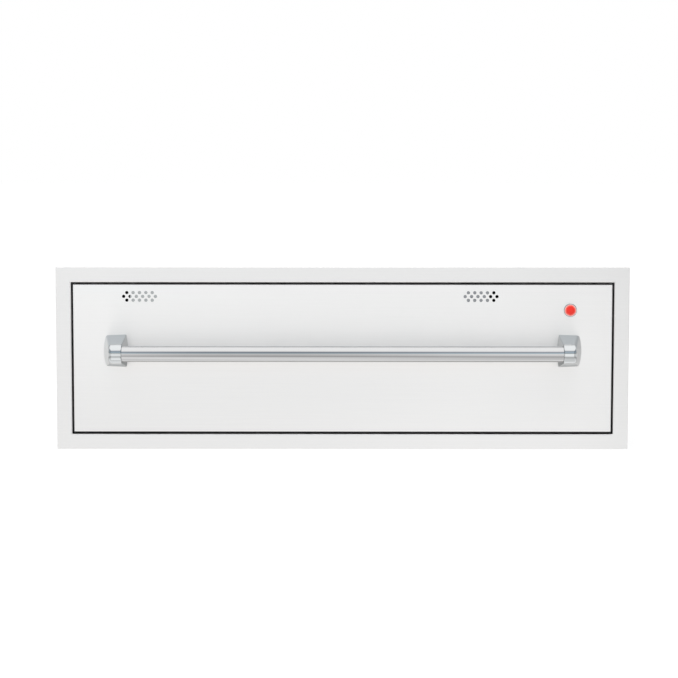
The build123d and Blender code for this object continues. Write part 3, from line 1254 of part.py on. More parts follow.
def make_all():
    """Every node by name."""
    nodes = {
        "face_frame": make_face_frame(),
        "casing_bottom": make_casing_bottom(),
        "casing_top": make_casing_top(),
        "casing_back": make_casing_back(),
        "seal_rim": make_seal_rim(),
        "ceiling_shield": make_ceiling_shield(),
        "ceiling_insulation": make_ceiling_insulation(),
        "casing_screws": make_casing_screws(),
        "junction_box": make_junction_box(),
        "junction_cover": make_junction_cover(),
        "cord_bushing": make_cord_bushing(),
        "terminal_block": make_terminal_block(),
        "lead_grommet": make_lead_grommet(),
        "coiled_lead": make_coiled_lead(),
        "front_skin": make_front_skin(),
        "front_liner": make_front_liner(),
        "front_insulation": make_front_insulation(),
        "door_gasket": make_door_gasket(),
        "handle_bar": make_handle_bar(),
        "handle_screws": make_handle_screws(),
        "indicator_bezel": make_indicator_bezel(),
        "indicator_lens": make_indicator_lens(),
        "indicator_nut": make_indicator_nut(),
        "thermostat_body": make_thermostat_body(),
        "thermostat_dial": make_thermostat_dial(),
        "thermostat_knob": make_thermostat_knob(),
        "thermostat_shaft": make_thermostat_shaft(),
        "thermostat_sensor": make_thermostat_sensor(),
        "sensor_clips": make_sensor_clips(),
        "drawer_shell": make_drawer_shell(),
        "drawer_tub": make_drawer_tub(),
        "tub_insulation": make_tub_insulation(),
        "drawer_screws": make_drawer_screws(),
        "heater_element": make_heater_element(),
        "heater_glands": make_heater_glands(),
        "heater_supports": make_heater_supports(),
        "heater_cover": make_heater_cover(),
        "food_rack": make_food_rack(),
        "terminal_cover": make_terminal_cover(),
        "wire_harness": make_wire_harness(),
        "slide_standoffs": make_slide_standoffs(),
        "vent_guides": make_vent_guides(),
    }
    for name, side in SIDES.items():
        nodes["casing_side_" + name] = make_casing_side(side)
        nodes["outer_slide_" + name] = make_outer_slide(side)
        nodes["middle_slide_" + name] = make_middle_slide(side)
        nodes["inner_slide_" + name] = make_inner_slide(side)
        nodes["outer_ball_cage_" + name] = make_outer_cage(side)
        nodes["inner_ball_cage_" + name] = make_inner_cage(side)
        nodes["handle_bracket_" + name] = make_handle_bracket(side)
    for name, vent in VENTS.items():
        nodes["vent_shutter_" + name] = make_vent_shutter(vent)
        nodes["vent_tab_" + name] = make_vent_tab(vent)
    return nodes


os.makedirs("parts", exist_ok=True)
for node_name, node_shape in make_all().items():
    export_step(node_shape, "parts/" + node_name + ".step")
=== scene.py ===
import math

import bmesh
import bpy
from mathutils import Matrix, Vector


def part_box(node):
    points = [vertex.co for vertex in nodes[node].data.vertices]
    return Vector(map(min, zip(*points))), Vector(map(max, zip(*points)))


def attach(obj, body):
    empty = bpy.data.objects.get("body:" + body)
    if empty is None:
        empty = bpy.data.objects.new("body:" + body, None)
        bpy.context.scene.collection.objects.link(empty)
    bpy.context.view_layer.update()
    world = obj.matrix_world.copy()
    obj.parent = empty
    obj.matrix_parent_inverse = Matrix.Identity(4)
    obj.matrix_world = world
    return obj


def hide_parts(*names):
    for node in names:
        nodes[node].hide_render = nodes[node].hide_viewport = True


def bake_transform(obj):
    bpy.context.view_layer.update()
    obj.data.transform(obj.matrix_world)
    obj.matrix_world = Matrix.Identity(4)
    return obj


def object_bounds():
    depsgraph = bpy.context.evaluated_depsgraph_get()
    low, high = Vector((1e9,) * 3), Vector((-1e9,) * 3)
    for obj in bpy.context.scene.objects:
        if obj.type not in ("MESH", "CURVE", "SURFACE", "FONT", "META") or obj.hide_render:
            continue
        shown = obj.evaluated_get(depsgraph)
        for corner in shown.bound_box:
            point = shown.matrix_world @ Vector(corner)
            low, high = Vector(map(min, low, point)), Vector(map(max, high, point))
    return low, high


# Built-in warming drawer: brushed stainless front and trim, polished handle, mill-finish casing, heated tub.
# Metres, +Z up; the front looks along -Y.

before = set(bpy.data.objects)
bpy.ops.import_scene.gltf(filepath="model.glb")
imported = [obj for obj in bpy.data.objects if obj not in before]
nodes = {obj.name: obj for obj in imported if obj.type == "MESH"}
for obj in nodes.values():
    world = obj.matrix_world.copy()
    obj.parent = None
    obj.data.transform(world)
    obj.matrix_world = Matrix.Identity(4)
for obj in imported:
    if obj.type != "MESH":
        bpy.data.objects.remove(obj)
cad_low, cad_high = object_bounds()

# ---- places taken from the frame -------------------------------------------------------------------------

face_low, face_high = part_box("face_frame")
skin_low, skin_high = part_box("front_skin")
lens_low, lens_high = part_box("indicator_lens")
bezel_low, bezel_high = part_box("indicator_bezel")
dial_low, dial_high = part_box("thermostat_dial")
knob_low, knob_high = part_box("thermostat_knob")
lead_low, lead_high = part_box("coiled_lead")
bar_low, bar_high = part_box("handle_bar")
bracket_low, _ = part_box("handle_bracket_left")

lens_middle = (lens_low + lens_high) / 2
front_middle = (skin_low + skin_high) / 2
HANDLE_Z = (bar_low.z + bar_high.z) / 2
NOSE_DEPTH = 0.0124
NOSE_START_Y = bracket_low.y + NOSE_DEPTH  # where the brackets' flanks end and their rounded noses begin
FLOOR_GAP = 0.0004
FLOOR_Z = cad_low.z - FLOOR_GAP


# ---- node tools ------------------------------------------------------------------------------------------


def on_scale(stops, low, high):
    """Ramp stops whose places are given on a scale that runs from low to high."""
    return [((place - low) / (high - low), tone) for place, tone in stops]


def tinted(colour, factor):
    return tuple(part * factor for part in colour)


class Nodes:
    """A node tree being built. Values given to it are numbers, colours or other nodes' outputs."""

    def __init__(self, tree):
        self.tree = tree

    def node(self, kind, inputs=None, **settings):
        made = self.tree.nodes.new(kind)
        for key, value in settings.items():
            setattr(made, key, value)
        for key, value in (inputs or {}).items():
            self.feed(made.inputs[key], value)
        return made

    def feed(self, socket, value):
        if isinstance(value, bpy.types.NodeSocket):
            self.tree.links.new(value, socket)
        else:
            socket.default_value = value

    def math(self, operation, first, second=0.0):
        return self.node("ShaderNodeMath", {0: first, 1: second}, operation=operation).outputs[0]

    def mix(self, factor, first, second, blend="MIX"):
        """Colours mixed by a factor, or multiplied."""
        made = self.node("ShaderNodeMix", data_type="RGBA", blend_type=blend)
        self.feed(made.inputs[0], factor)
        for socket, colour in ((made.inputs[6], first), (made.inputs[7], second)):
            self.feed(socket, colour if isinstance(colour, bpy.types.NodeSocket) else (*colour, 1))
        return made.outputs[2]

    def ramp(self, value, stops):
        """Colours, or greys, over a value. Stops are (place from 0 to 1, colour or grey)."""
        made = self.node("ShaderNodeValToRGB", {"Fac": value})
        elements = made.color_ramp.elements
        while len(elements) < len(stops):
            elements.new(0.5)
        for element, (place, colour) in zip(elements, stops):
            element.position = place
            shade = (colour,) * 3 if isinstance(colour, (int, float)) else colour
            element.color = (*shade, 1.0)
        return made.outputs["Color"]

    def choose(self, factor, first, second):
        """The first shader where the factor is 0, and the second where it is 1."""
        return self.node("ShaderNodeMixShader", {"Fac": factor, 1: first, 2: second}).outputs[0]


class Shader(Nodes):
    """A material's nodes, which end in one Principled shader."""

    def __init__(self, name, **values):
        self.material = bpy.data.materials.new(name)
        self.material.use_nodes = True
        super().__init__(self.material.node_tree)
        self.bsdf = self.tree.nodes["Principled BSDF"]
        for socket, value in values.items():
            self.bsdf.inputs[socket.replace("_", " ")].default_value = value
        self.coordinates = self.node("ShaderNodeTexCoord").outputs["Object"]

    def stretched(self, scale, offset=(0, 0, 0)):
        """Object coordinates in metres, multiplied by a scale for each axis, or by one for all."""
        if isinstance(scale, (int, float)):
            scale = (scale,) * 3
        inputs = {"Vector": self.coordinates, "Scale": scale, "Location": offset}
        return self.node("ShaderNodeMapping", inputs).outputs["Vector"]

    def noise(self, vector, detail=3.0, roughness=0.55):
        inputs = {"Vector": vector, "Scale": 1.0, "Detail": detail, "Roughness": roughness}
        return self.node("ShaderNodeTexNoise", inputs).outputs["Fac"]

    def cells(self, scale):
        """Distance from the middle of the nearest of many small cells."""
        inputs = {"Vector": self.stretched(1.0), "Scale": scale}
        return self.node("ShaderNodeTexVoronoi", inputs).outputs["Distance"]

    def spread(self, value, low, high, from_low=0.3, from_high=0.7):
        """A number that runs from low to high as value does from from_low to from_high."""
        made = self.node("ShaderNodeMapRange", {"Value": value})
        names = ("From Min", "From Max", "To Min", "To Max")
        for socket, number in zip(names, (from_low, from_high, low, high)):
            self.feed(made.inputs[socket], number)
        return made.outputs["Result"]

    def rising(self, value, start, end):
        """0 up to start, and 1 from end on."""
        return self.spread(value, 0.0, 1.0, start, end)

    def falling(self, value, start, end):
        """1 up to start, and 0 from end on."""
        return self.spread(value, 1.0, 0.0, start, end)

    def place(self):
        """X, Y and Z of the point, in metres."""
        return self.node("ShaderNodeSeparateXYZ", {0: self.coordinates}).outputs

    def facing(self):
        """X, Y and Z of the surface's own direction."""
        normal = self.node("ShaderNodeNewGeometry").outputs["Normal"]
        return self.node("ShaderNodeSeparateXYZ", {0: normal}).outputs

    def vector_math(self, operation, first, second=(0, 0, 0)):
        return self.node("ShaderNodeVectorMath", {0: first, 1: second}, operation=operation)

    def apart(self, point):
        """Distance from a point, in metres."""
        return self.vector_math("DISTANCE", self.coordinates, tuple(point)).outputs["Value"]

    def bump(self, height, distance, strength=1.0):
        inputs = {"Height": height, "Distance": distance, "Strength": strength}
        return self.node("ShaderNodeBump", inputs).outputs["Normal"]

    def finish(self, **links):
        for socket, value in links.items():
            self.feed(self.bsdf.inputs[socket.replace("_", " ")], value)
        return self.material


# ---- metals ----------------------------------------------------------------------------------------------

GRAIN_ACROSS = 2600.0  # brushing lines a metre, across the grain
GRAIN_ALONG = 14.0
COARSE_GRAIN = 0.23  # density of the coarse lines, as a share of the fine ones'
# painted light and shade: change of brightness for each metre of height, at the middle of the width, and
# more of it for each metre in X
FRONT_LIGHT_TILT = (0.22, -0.52)
FRAME_LIGHT_TILT = (0.0, -0.31)

# depths in Y at which painted shade starts or ends
FACE_Y = -0.0078  # just behind the drawer front's face
LEVEL_FOLD_START_Y = FACE_Y
UPRIGHT_FOLD_START_Y = -0.0056
JAMB_START_Y = -0.0062
LINER_SHOWN_Y = 0.0314  # just in front of the side of the liner that shows
JAMB_REACH = 0.0052  # of the painted shade on the trim's inner edge, out from the drawer front's outline
FOLD_REACH = 0.005  # of the front's folded edges, in from its outline
LOW_EDGE_WIDTH, HIGH_EDGE_WIDTH = 0.0012, 0.0007  # painted shade lines along the front's bottom and top edge
# painted shade: tones as shares of the metal's own
FOLDED_SHADE = 0.6
EDGE_SHADE = 0.12
JAMB_SHADE = 0.04
CAVITY_SHADE = 0.04


def beyond_front(s):
    """Metres by which a point lies outside the drawer front's outline in X and in Z; negative inside it."""
    half = (skin_high - skin_low) / 2
    from_middle = s.vector_math("SUBTRACT", s.coordinates, tuple(front_middle)).outputs[0]
    apart = s.vector_math("ABSOLUTE", from_middle).outputs[0]
    beyond = s.vector_math("SUBTRACT", apart, tuple(half)).outputs[0]
    parts = s.node("ShaderNodeSeparateXYZ", {0: beyond}).outputs
    return parts["X"], parts["Z"]


def behind(s, start):
    """1 on what lies behind a depth, and 0 in front of it."""
    return s.rising(s.math("SUBTRACT", s.place()["Y"], start), 0.0, 0.001)


def folded_edge_painted_shade(s):
    """Mask of painted shade for the gap round the front: 1 on the drawer front's folded edges, and 0 on its
    face.
    """
    beyond_x, beyond_z = beyond_front(s)
    level = s.math("GREATER_THAN", beyond_z, beyond_x)
    start = s.spread(level, UPRIGHT_FOLD_START_Y, LEVEL_FOLD_START_Y, 0.0, 1.0)
    return behind(s, start)


def front_edge_painted_shade(s):
    """Mask of painted shade for the gap: 1 in a thin line along the top and bottom edge of the drawer front,
    and 0 elsewhere on it.
    """
    _, beyond_z = beyond_front(s)
    middle = (front_middle.z - 0.01, front_middle.z + 0.01)
    width = s.spread(s.place()["Z"], LOW_EDGE_WIDTH, HIGH_EDGE_WIDTH, *middle)
    return s.rising(s.math("ADD", beyond_z, width), -0.0001, 0.0001)


def jamb_painted_shade(s):
    """Mask of painted shade for the gap: 1 on the trim frame's inner edge, and 0 elsewhere on it."""
    near = s.falling(s.math("MAXIMUM", *beyond_front(s)), JAMB_REACH - 0.0006, JAMB_REACH)
    return s.math("MULTIPLY", near, behind(s, JAMB_START_Y))


def skin_hollow_painted_shade(s):
    """Mask of painted shade in the front's hollow: 1 on the back of the drawer front's skin and in its
    holes, and 0 on its face and folded edges.
    """
    away_from_edge = s.falling(s.math("MAXIMUM", *beyond_front(s)), -FOLD_REACH - 0.001, -FOLD_REACH)
    return s.math("MULTIPLY", away_from_edge, s.rising(s.place()["Y"], FACE_Y, FACE_Y + 0.0001))


def liner_hollow_painted_shade(s):
    """Mask of painted shade in the front's hollow: 1 on the liner's hidden side, towards the drawer front's
    skin, and 0 on the side that shows.
    """
    return s.falling(s.place()["Y"], LINER_SHOWN_Y - 0.0003, LINER_SHOWN_Y)


def painted_light_tilt(s, at_middle, per_metre):
    """Painted light and shade: a faint, broad change of brightness over the front."""
    x, _, z = s.place()
    across = s.math("ADD", s.math("MULTIPLY", x, per_metre), at_middle)
    height = s.math("SUBTRACT", z, front_middle.z)
    return s.math("ADD", s.math("MULTIPLY", across, height), 1.0)


def grain_scale(fine):
    """Texture scale for brushing lines along X."""
    return GRAIN_ALONG * fine, GRAIN_ACROSS * fine, GRAIN_ACROSS * fine


def with_painted_shade(s, tone, colour, painted_shades):
    """A tone with painted shade where masks say so. Painted shades are (mask, share of the colour that is
    left).
    """
    for mask, share in painted_shades:
        tone = s.mix(mask(s), tone, tinted(colour, share))
    return tone


def brushed_metal(
    name, colour, roughness=0.35, anisotropy=0.75, cloud=0.02, lines=0.025, painted_shades=(), tilt_of_light=(0.0, 0.0)
):
    """Brushed sheet: fine lines along X, soft cloudiness, and highlights drawn out across the lines."""
    s = Shader(name, Metallic=1.0, Anisotropic=anisotropy, Anisotropic_Rotation=0.25)
    fine = s.noise(s.stretched(grain_scale(1.0)), detail=2.0)
    coarse = s.noise(s.stretched(grain_scale(COARSE_GRAIN), (3.1, 1.7, 0.4)), detail=3.0)
    clouds = s.noise(s.stretched((3.0, 3.0, 5.0)), detail=4.0, roughness=0.6)
    grain = s.math("ADD", s.math("MULTIPLY", fine, 0.6), s.math("MULTIPLY", coarse, 0.4))
    lined = s.ramp(grain, [(0.3, tinted(colour, 1 - lines)), (0.7, tinted(colour, 1 + lines * 0.6))])
    clouded = s.ramp(clouds, [(0.3, 1 - cloud), (0.7, 1.0)])
    tangent = s.node("ShaderNodeTangent", direction_type="RADIAL", axis="Z").outputs["Tangent"]
    rough = s.math(
        "ADD", s.spread(grain, roughness * 0.93, roughness * 1.07), s.spread(clouds, -0.02, 0.02)
    )
    normal = s.bump(grain, 0.00002, 0.25)
    # painted light and shade: a broad tilt of brightness
    lined = s.mix(1.0, lined, painted_light_tilt(s, *tilt_of_light), "MULTIPLY")
    # painted shade where the masks say so
    tone = with_painted_shade(s, s.mix(1.0, lined, clouded, "MULTIPLY"), colour, painted_shades)
    return s.finish(Base_Color=tone, Roughness=rough, Normal=normal, Tangent=tangent)


def mill_sheet(name, colour, roughness=0.34, spots=0.06, painted_shades=()):
    """Plain sheet as it leaves the mill: cloudy, with faint rolling lines and handling marks."""
    s = Shader(name, Metallic=1.0)
    clouds = s.noise(s.stretched((7.0, 7.0, 9.0)), detail=5.0, roughness=0.62)
    rolling = s.noise(s.stretched((9.0, 420.0, 420.0)), detail=2.0)
    marks = s.noise(s.stretched(60.0, (0.3, 0.2, 0.9)), detail=3.0, roughness=0.5)
    shade = s.ramp(clouds, [(0.25, tinted(colour, 1 - spots)), (0.75, tinted(colour, 1 + spots * 0.5))])
    lined = s.mix(0.5, shade, s.ramp(rolling, [(0.3, 0.92), (0.7, 1.0)]), "MULTIPLY")
    # painted shade where the masks say so
    tone = with_painted_shade(s, lined, colour, painted_shades)
    rough = s.math(
        "ADD", s.spread(marks, roughness - 0.03, roughness + 0.04), s.spread(clouds, -0.03, 0.03)
    )
    return s.finish(Base_Color=tone, Roughness=rough, Normal=s.bump(rolling, 0.00003, 0.2))


# Painted reflections: the dark and light lines that a mirrored studio draws below a polished round bar's
# middle, as shares of its tone, by the upward part of the surface's direction, from -1 (down) to 1 (up)
BAR_REFLECTION_LINES = [
    (-0.86, 0.62), (-0.76, 1.16), (-0.5, 1.13), (-0.32, 0.95), (-0.24, 0.61), (-0.14, 0.6), (-0.05, 0.95),
    (0.08, 1.0),
]
# painted reflections on the brackets' rounded noses, on the same scale
NOSE_REFLECTION_LINES = [
    (-0.42, 1.12), (-0.30, 0.88), (-0.24, 0.60), (-0.15, 0.62), (-0.10, 1.06), (0.11, 1.06), (0.13, 0.5),
    (0.17, 0.5), (0.2, 0.94),
]
# painted light on the bar's side that faces the drawer, which the front mirrors
BAR_BACK_LIGHT = 1.25
INNER_SHADE_TONE = 0.72  # painted shade on the brackets' flanks that face the bar
DULL_ROUGHNESS = 0.6
SCRATCH_ROUGHNESS = 0.035
# over which masks fade out: parts of the surface's direction, and heights
FACING_DOWN = (-0.9, -0.7)
FACING_BAR = (-0.8, -0.5)
BELOW_BAR = (HANDLE_Z - 0.014, HANDLE_Z - 0.006)
RIM_WIDTH = 0.0011  # of the painted shade line round the lamp bezel
RIM_SHADE_TONE = 0.22


def reflection_lines_by_height(s, lines):
    """Painted reflection lines: tones by the upward part of the surface's direction."""
    return s.ramp(s.rising(s.facing()["Z"], -1.0, 1.0), on_scale(lines, -1, 1))


def bar_shading(s):
    """Painted light on the bar's side that faces the drawer, and painted reflections as darker lines below
    its middle.
    """
    back = s.spread(s.facing()["Y"], 1.0, BAR_BACK_LIGHT, 0.0, 0.3)
    return s.mix(1.0, reflection_lines_by_height(s, BAR_REFLECTION_LINES), back, "MULTIPLY")


def bracket_flanks(s):
    """1 on a bracket's flat flanks, and 0 on its rounded nose."""
    return s.rising(s.place()["Y"], NOSE_START_Y, NOSE_START_Y + 0.001)


def bracket_inside(s):
    """1 on a bracket's flank that faces the bar, and 0 elsewhere."""
    inward = s.math("MULTIPLY", s.math("SIGN", s.place()["X"]), s.facing()["X"])
    return s.falling(inward, *FACING_BAR)


def bracket_dull(s):
    """1 on what is left unpolished on a bracket: its underside, and its inner flank below the bar."""
    underside = s.math("MULTIPLY", bracket_flanks(s), s.falling(s.facing()["Z"], *FACING_DOWN))
    low_inside = s.math("MULTIPLY", bracket_inside(s), s.falling(s.place()["Z"], *BELOW_BAR))
    return s.math("MAXIMUM", underside, low_inside)


def bracket_shading(s):
    """Painted reflection lines on a bracket's nose, and painted shade on the side that faces the bar."""
    nose = s.mix(bracket_flanks(s), reflection_lines_by_height(s, NOSE_REFLECTION_LINES), (1.0, 1.0, 1.0))
    return s.mix(1.0, nose, s.spread(bracket_inside(s), 1.0, INNER_SHADE_TONE, 0.0, 1.0), "MULTIPLY")


def bezel_shading(s):
    """Painted shade and reflection: a dark line round the lamp bezel's outer edge."""
    flat = (lens_middle.x, bezel_low.y, lens_middle.z)
    radius = (bezel_high.x - bezel_low.x) / 2
    return s.spread(s.apart(flat), 1.0, RIM_SHADE_TONE, radius - RIM_WIDTH, radius - RIM_WIDTH + 0.0006)


def polished_metal(name, colour, roughness=0.045, shading=None, dull=None):
    """Mirror-polished plating: faint haze, hairline scratches and a little waviness.

    Shading gives shares of the colour's tone, which paint light, shade and reflections, and dull is 1 on
    what is left unpolished.
    """
    s = Shader(name, Metallic=1.0)
    haze = s.noise(s.stretched(30.0), detail=4.0)
    hairs = s.noise(s.stretched((90.0, 2400.0, 2400.0)), detail=2.0)
    scratches = s.ramp(hairs, [(0.62, 0.0), (0.74, 1.0)])
    hazy = s.spread(haze, roughness * 0.7, roughness * 1.4)
    rough = s.math("ADD", hazy, s.math("MULTIPLY", scratches, SCRATCH_ROUGHNESS))
    tone = s.ramp(haze, [(0.3, tinted(colour, 0.98)), (0.7, colour)])
    if shading:
        tone = s.mix(1.0, tone, shading(s), "MULTIPLY")
    if dull:
        rough = s.math("MAXIMUM", rough, s.math("MULTIPLY", dull(s), DULL_ROUGHNESS))
    waves = s.noise(s.stretched(45.0), detail=1.0)
    return s.finish(Base_Color=tone, Roughness=rough, Normal=s.bump(waves, 0.00006, 0.25))


def worn_metal(name, colour, roughness=0.4, scale=160.0, contrast=0.12):
    """Small turned or stamped steel parts: mottled, with a rougher patina in places."""
    s = Shader(name, Metallic=1.0)
    mottle = s.noise(s.stretched(scale), detail=5.0, roughness=0.65)
    fine = s.noise(s.stretched(scale * 9), detail=2.0)
    tone = s.ramp(mottle, [(0.3, tinted(colour, 1 - contrast)), (0.7, tinted(colour, 1 + contrast * 0.4))])
    rough = s.spread(mottle, roughness - 0.08, roughness + 0.1)
    return s.finish(Base_Color=tone, Roughness=rough, Normal=s.bump(fine, 0.00004, 0.3))


def heat_tinted_sheath(name):
    """Heating element: dark oxide with straw and blue tints in patches."""
    s = Shader(name, Metallic=0.75)
    patches = s.noise(s.stretched(14.0), detail=4.0)
    grit = s.noise(s.stretched(900.0), detail=3.0)
    tint = s.ramp(
        patches, [(0.3, (0.06, 0.055, 0.05)), (0.48, (0.12, 0.095, 0.07)), (0.6, (0.09, 0.095, 0.12))]
    )
    tone = s.mix(0.35, tint, s.ramp(grit, [(0.35, 0.55), (0.7, 1.0)]), "MULTIPLY")
    return s.finish(Base_Color=tone, Roughness=s.spread(grit, 0.38, 0.6), Normal=s.bump(grit, 0.00008, 0.4))


# ---- other materials -------------------------------------------------------------------------------------


def moulded_plastic(name, colour, roughness=0.45, grain=0.35):
    """Moulded plastic with a fine eroded grain."""
    s = Shader(name, IOR=1.5)
    leather = s.cells(2600.0)
    cloud = s.noise(s.stretched(40.0), detail=3.0)
    tone = s.ramp(cloud, [(0.3, tinted(colour, 0.85)), (0.7, tinted(colour, 1.25))])
    rough = s.spread(cloud, roughness - 0.05, roughness + 0.07)
    return s.finish(Base_Color=tone, Roughness=rough, Normal=s.bump(leather, 0.00004, grain))


def soft_rubber(name, colour, roughness=0.7):
    """Silicone or rubber: matt, with a dusting and slight unevenness."""
    s = Shader(name, IOR=1.45)
    dust = s.noise(s.stretched(120.0), detail=6.0, roughness=0.7)
    swell = s.noise(s.stretched(300.0), detail=2.0)
    tone = s.ramp(dust, [(0.35, colour), (0.8, tinted(colour, 2.6))])
    rough = s.spread(dust, roughness - 0.1, roughness + 0.1)
    return s.finish(Base_Color=tone, Roughness=rough, Normal=s.bump(swell, 0.0001, 0.25))


def mineral_wool(name):
    """Felted fibres, tan and grey, with loose tufts."""
    s = Shader(name, Roughness=1.0, Specular_IOR_Level=0.1)
    tufts = s.noise(s.stretched(55.0), detail=4.0)
    fibres = s.noise(s.stretched((240.0, 900.0, 1500.0)), detail=4.0, roughness=0.7)
    across = s.noise(s.stretched((1200.0, 300.0, 800.0)), detail=4.0, roughness=0.7)
    both = s.math("MULTIPLY", s.math("ADD", fibres, across), 0.5)
    tone = s.ramp(both, [(0.3, (0.30, 0.26, 0.16)), (0.5, (0.55, 0.50, 0.34)), (0.7, (0.78, 0.74, 0.60))])
    height = s.math("ADD", both, s.math("MULTIPLY", tufts, 0.6))
    return s.finish(Base_Color=tone, Normal=s.bump(height, 0.0012, 0.9))


def clear_red(name):
    """Red lens: deep in the middle, paler towards its rim."""
    s = Shader(name, IOR=1.49, Specular_IOR_Level=0.3, Coat_Weight=0.15, Coat_Roughness=0.05)
    radius = (lens_high.x - lens_low.x) / 2
    cells = s.cells(900.0)
    inside = s.math("DIVIDE", s.apart(lens_middle), radius)
    edge = s.math("ADD", inside, s.spread(cells, -0.09, 0.09, 0.1, 0.7))
    tone = s.ramp(
        edge, [(0.66, (0.88, 0.032, 0.018)), (0.84, (0.92, 0.13, 0.10)), (1.0, (0.95, 0.38, 0.33))]
    )
    return s.finish(Base_Color=tone, Roughness=s.spread(cells, 0.08, 0.2))


def glazed_ceramic(name):
    """Pale glazed ceramic with fine speckle."""
    s = Shader(name, IOR=1.55, Coat_Weight=0.6, Coat_Roughness=0.08)
    speckle = s.noise(s.stretched(1500.0), detail=2.0)
    cloud = s.noise(s.stretched(60.0), detail=3.0)
    glaze = s.ramp(cloud, [(0.3, (0.78, 0.75, 0.67)), (0.7, (0.86, 0.84, 0.78))])
    tone = s.mix(0.4, glaze, s.ramp(speckle, [(0.3, 0.86), (0.6, 1.0)]), "MULTIPLY")
    rough = s.spread(cloud, 0.3, 0.42)
    return s.finish(Base_Color=tone, Roughness=rough, Normal=s.bump(speckle, 0.00003, 0.2))


def woven_sleeve(name):
    """Woven glass sleeving: a fine diagonal braid."""
    s = Shader(name, Roughness=0.85)
    strands = []
    for slant in (1, -1):
        inputs = {"Vector": s.stretched((slant, 1, 1)), "Scale": 420.0}
        wave = s.node("ShaderNodeTexWave", inputs, bands_direction="DIAGONAL")
        strands.append(wave.outputs["Fac"])
    weave = s.math("MAXIMUM", *strands)
    fuzz = s.noise(s.stretched(1800.0), detail=3.0)
    yarn = s.ramp(weave, [(0.2, (0.42, 0.40, 0.35)), (0.9, (0.72, 0.70, 0.63))])
    tone = s.mix(0.3, yarn, s.ramp(fuzz, [(0.3, 0.75), (0.7, 1.0)]), "MULTIPLY")
    return s.finish(Base_Color=tone, Normal=s.bump(weave, 0.00025, 0.6))


def printed_ink(name, colour):
    """Screen-printed ink, slightly worn."""
    s = Shader(name, Roughness=0.5)
    wear = s.noise(s.stretched(1400.0), detail=3.0)
    tone = s.ramp(wear, [(0.25, tinted(colour, 1.6)), (0.45, colour)])
    return s.finish(Base_Color=tone, Roughness=s.spread(wear, 0.4, 0.6))


STAINLESS = (0.973, 0.957, 0.942)
CHROME = (0.88, 0.885, 0.89)
BRACKET_STEEL = (0.605, 0.622, 0.628)
BAR_STEEL = (0.55, 0.55, 0.552)
# shutter tones darkened to paint the shade seen through the vent holes, more on the right
SHUTTER_LEFT, SHUTTER_RIGHT = (0.57, 0.585, 0.585), (0.39, 0.40, 0.415)
SATIN = (0.66, 0.66, 0.65)

# painted shade in and round the gap, and a painted tilt of light over the trim and front
steel_frame = brushed_metal(
    "brushed_trim", tinted(STAINLESS, 0.965), painted_shades=[(jamb_painted_shade, JAMB_SHADE)], tilt_of_light=FRAME_LIGHT_TILT
)
steel_front = brushed_metal(
    "brushed_front", STAINLESS, tilt_of_light=FRONT_LIGHT_TILT,
    painted_shades=[(front_edge_painted_shade, EDGE_SHADE), (folded_edge_painted_shade, FOLDED_SHADE), (skin_hollow_painted_shade, CAVITY_SHADE)],
)
# painted shade on the liner's hidden side, in the front's hollow
steel_liner = mill_sheet("satin_liner", SATIN, 0.3, painted_shades=[(liner_hollow_painted_shade, CAVITY_SHADE)])
steel_tub = mill_sheet("satin_tub", SATIN, 0.34)
# matt sheet with painted shade of the vent holes, deeper on the right
steel_shutter_left = mill_sheet("dull_shaded_shutter_left", SHUTTER_LEFT, 0.42)
steel_shutter_right = mill_sheet("dull_shaded_shutter_right", SHUTTER_RIGHT, 0.42)
steel_casing = mill_sheet("mill_casing", (0.58, 0.59, 0.60), 0.36)
steel_slide = worn_metal("zinc_slide", (0.55, 0.57, 0.60), 0.32, 90.0)
steel_cage = worn_metal("bright_cage", (0.62, 0.62, 0.62), 0.28, 120.0)
steel_screw = worn_metal("screw_steel", (0.60, 0.60, 0.61), 0.3, 240.0)
# painted shade round the bezel's edge, and painted reflections, light and shade on the handle
chrome = polished_metal("polished_chrome", CHROME, shading=bezel_shading)
polished_bar = polished_metal("polished_bar", BAR_STEEL, shading=bar_shading)
polished_bracket = polished_metal(
    "polished_bracket", BRACKET_STEEL, shading=bracket_shading, dull=bracket_dull
)
chrome_wire = polished_metal("chrome_wire", tinted(CHROME, 0.92), 0.12)
sheath = heat_tinted_sheath("heater_sheath")
copper = worn_metal("capillary_copper", (0.72, 0.40, 0.24), 0.34, 130.0, 0.2)
black_plastic = moulded_plastic("black_plastic", (0.022, 0.022, 0.023))
seal_black = soft_rubber("silicone_seal", (0.016, 0.016, 0.017))
lead_black = soft_rubber("lead_jacket", (0.02, 0.02, 0.021), 0.5)
wool = mineral_wool("mineral_wool")
red = clear_red("lamp_red")
ceramic = glazed_ceramic("terminal_ceramic")
sleeve = woven_sleeve("wire_sleeve")
dial_metal = brushed_metal("dial_plate", (0.62, 0.62, 0.63), roughness=0.34, anisotropy=0.5)
ink = printed_ink("dial_ink", (0.02, 0.02, 0.02))

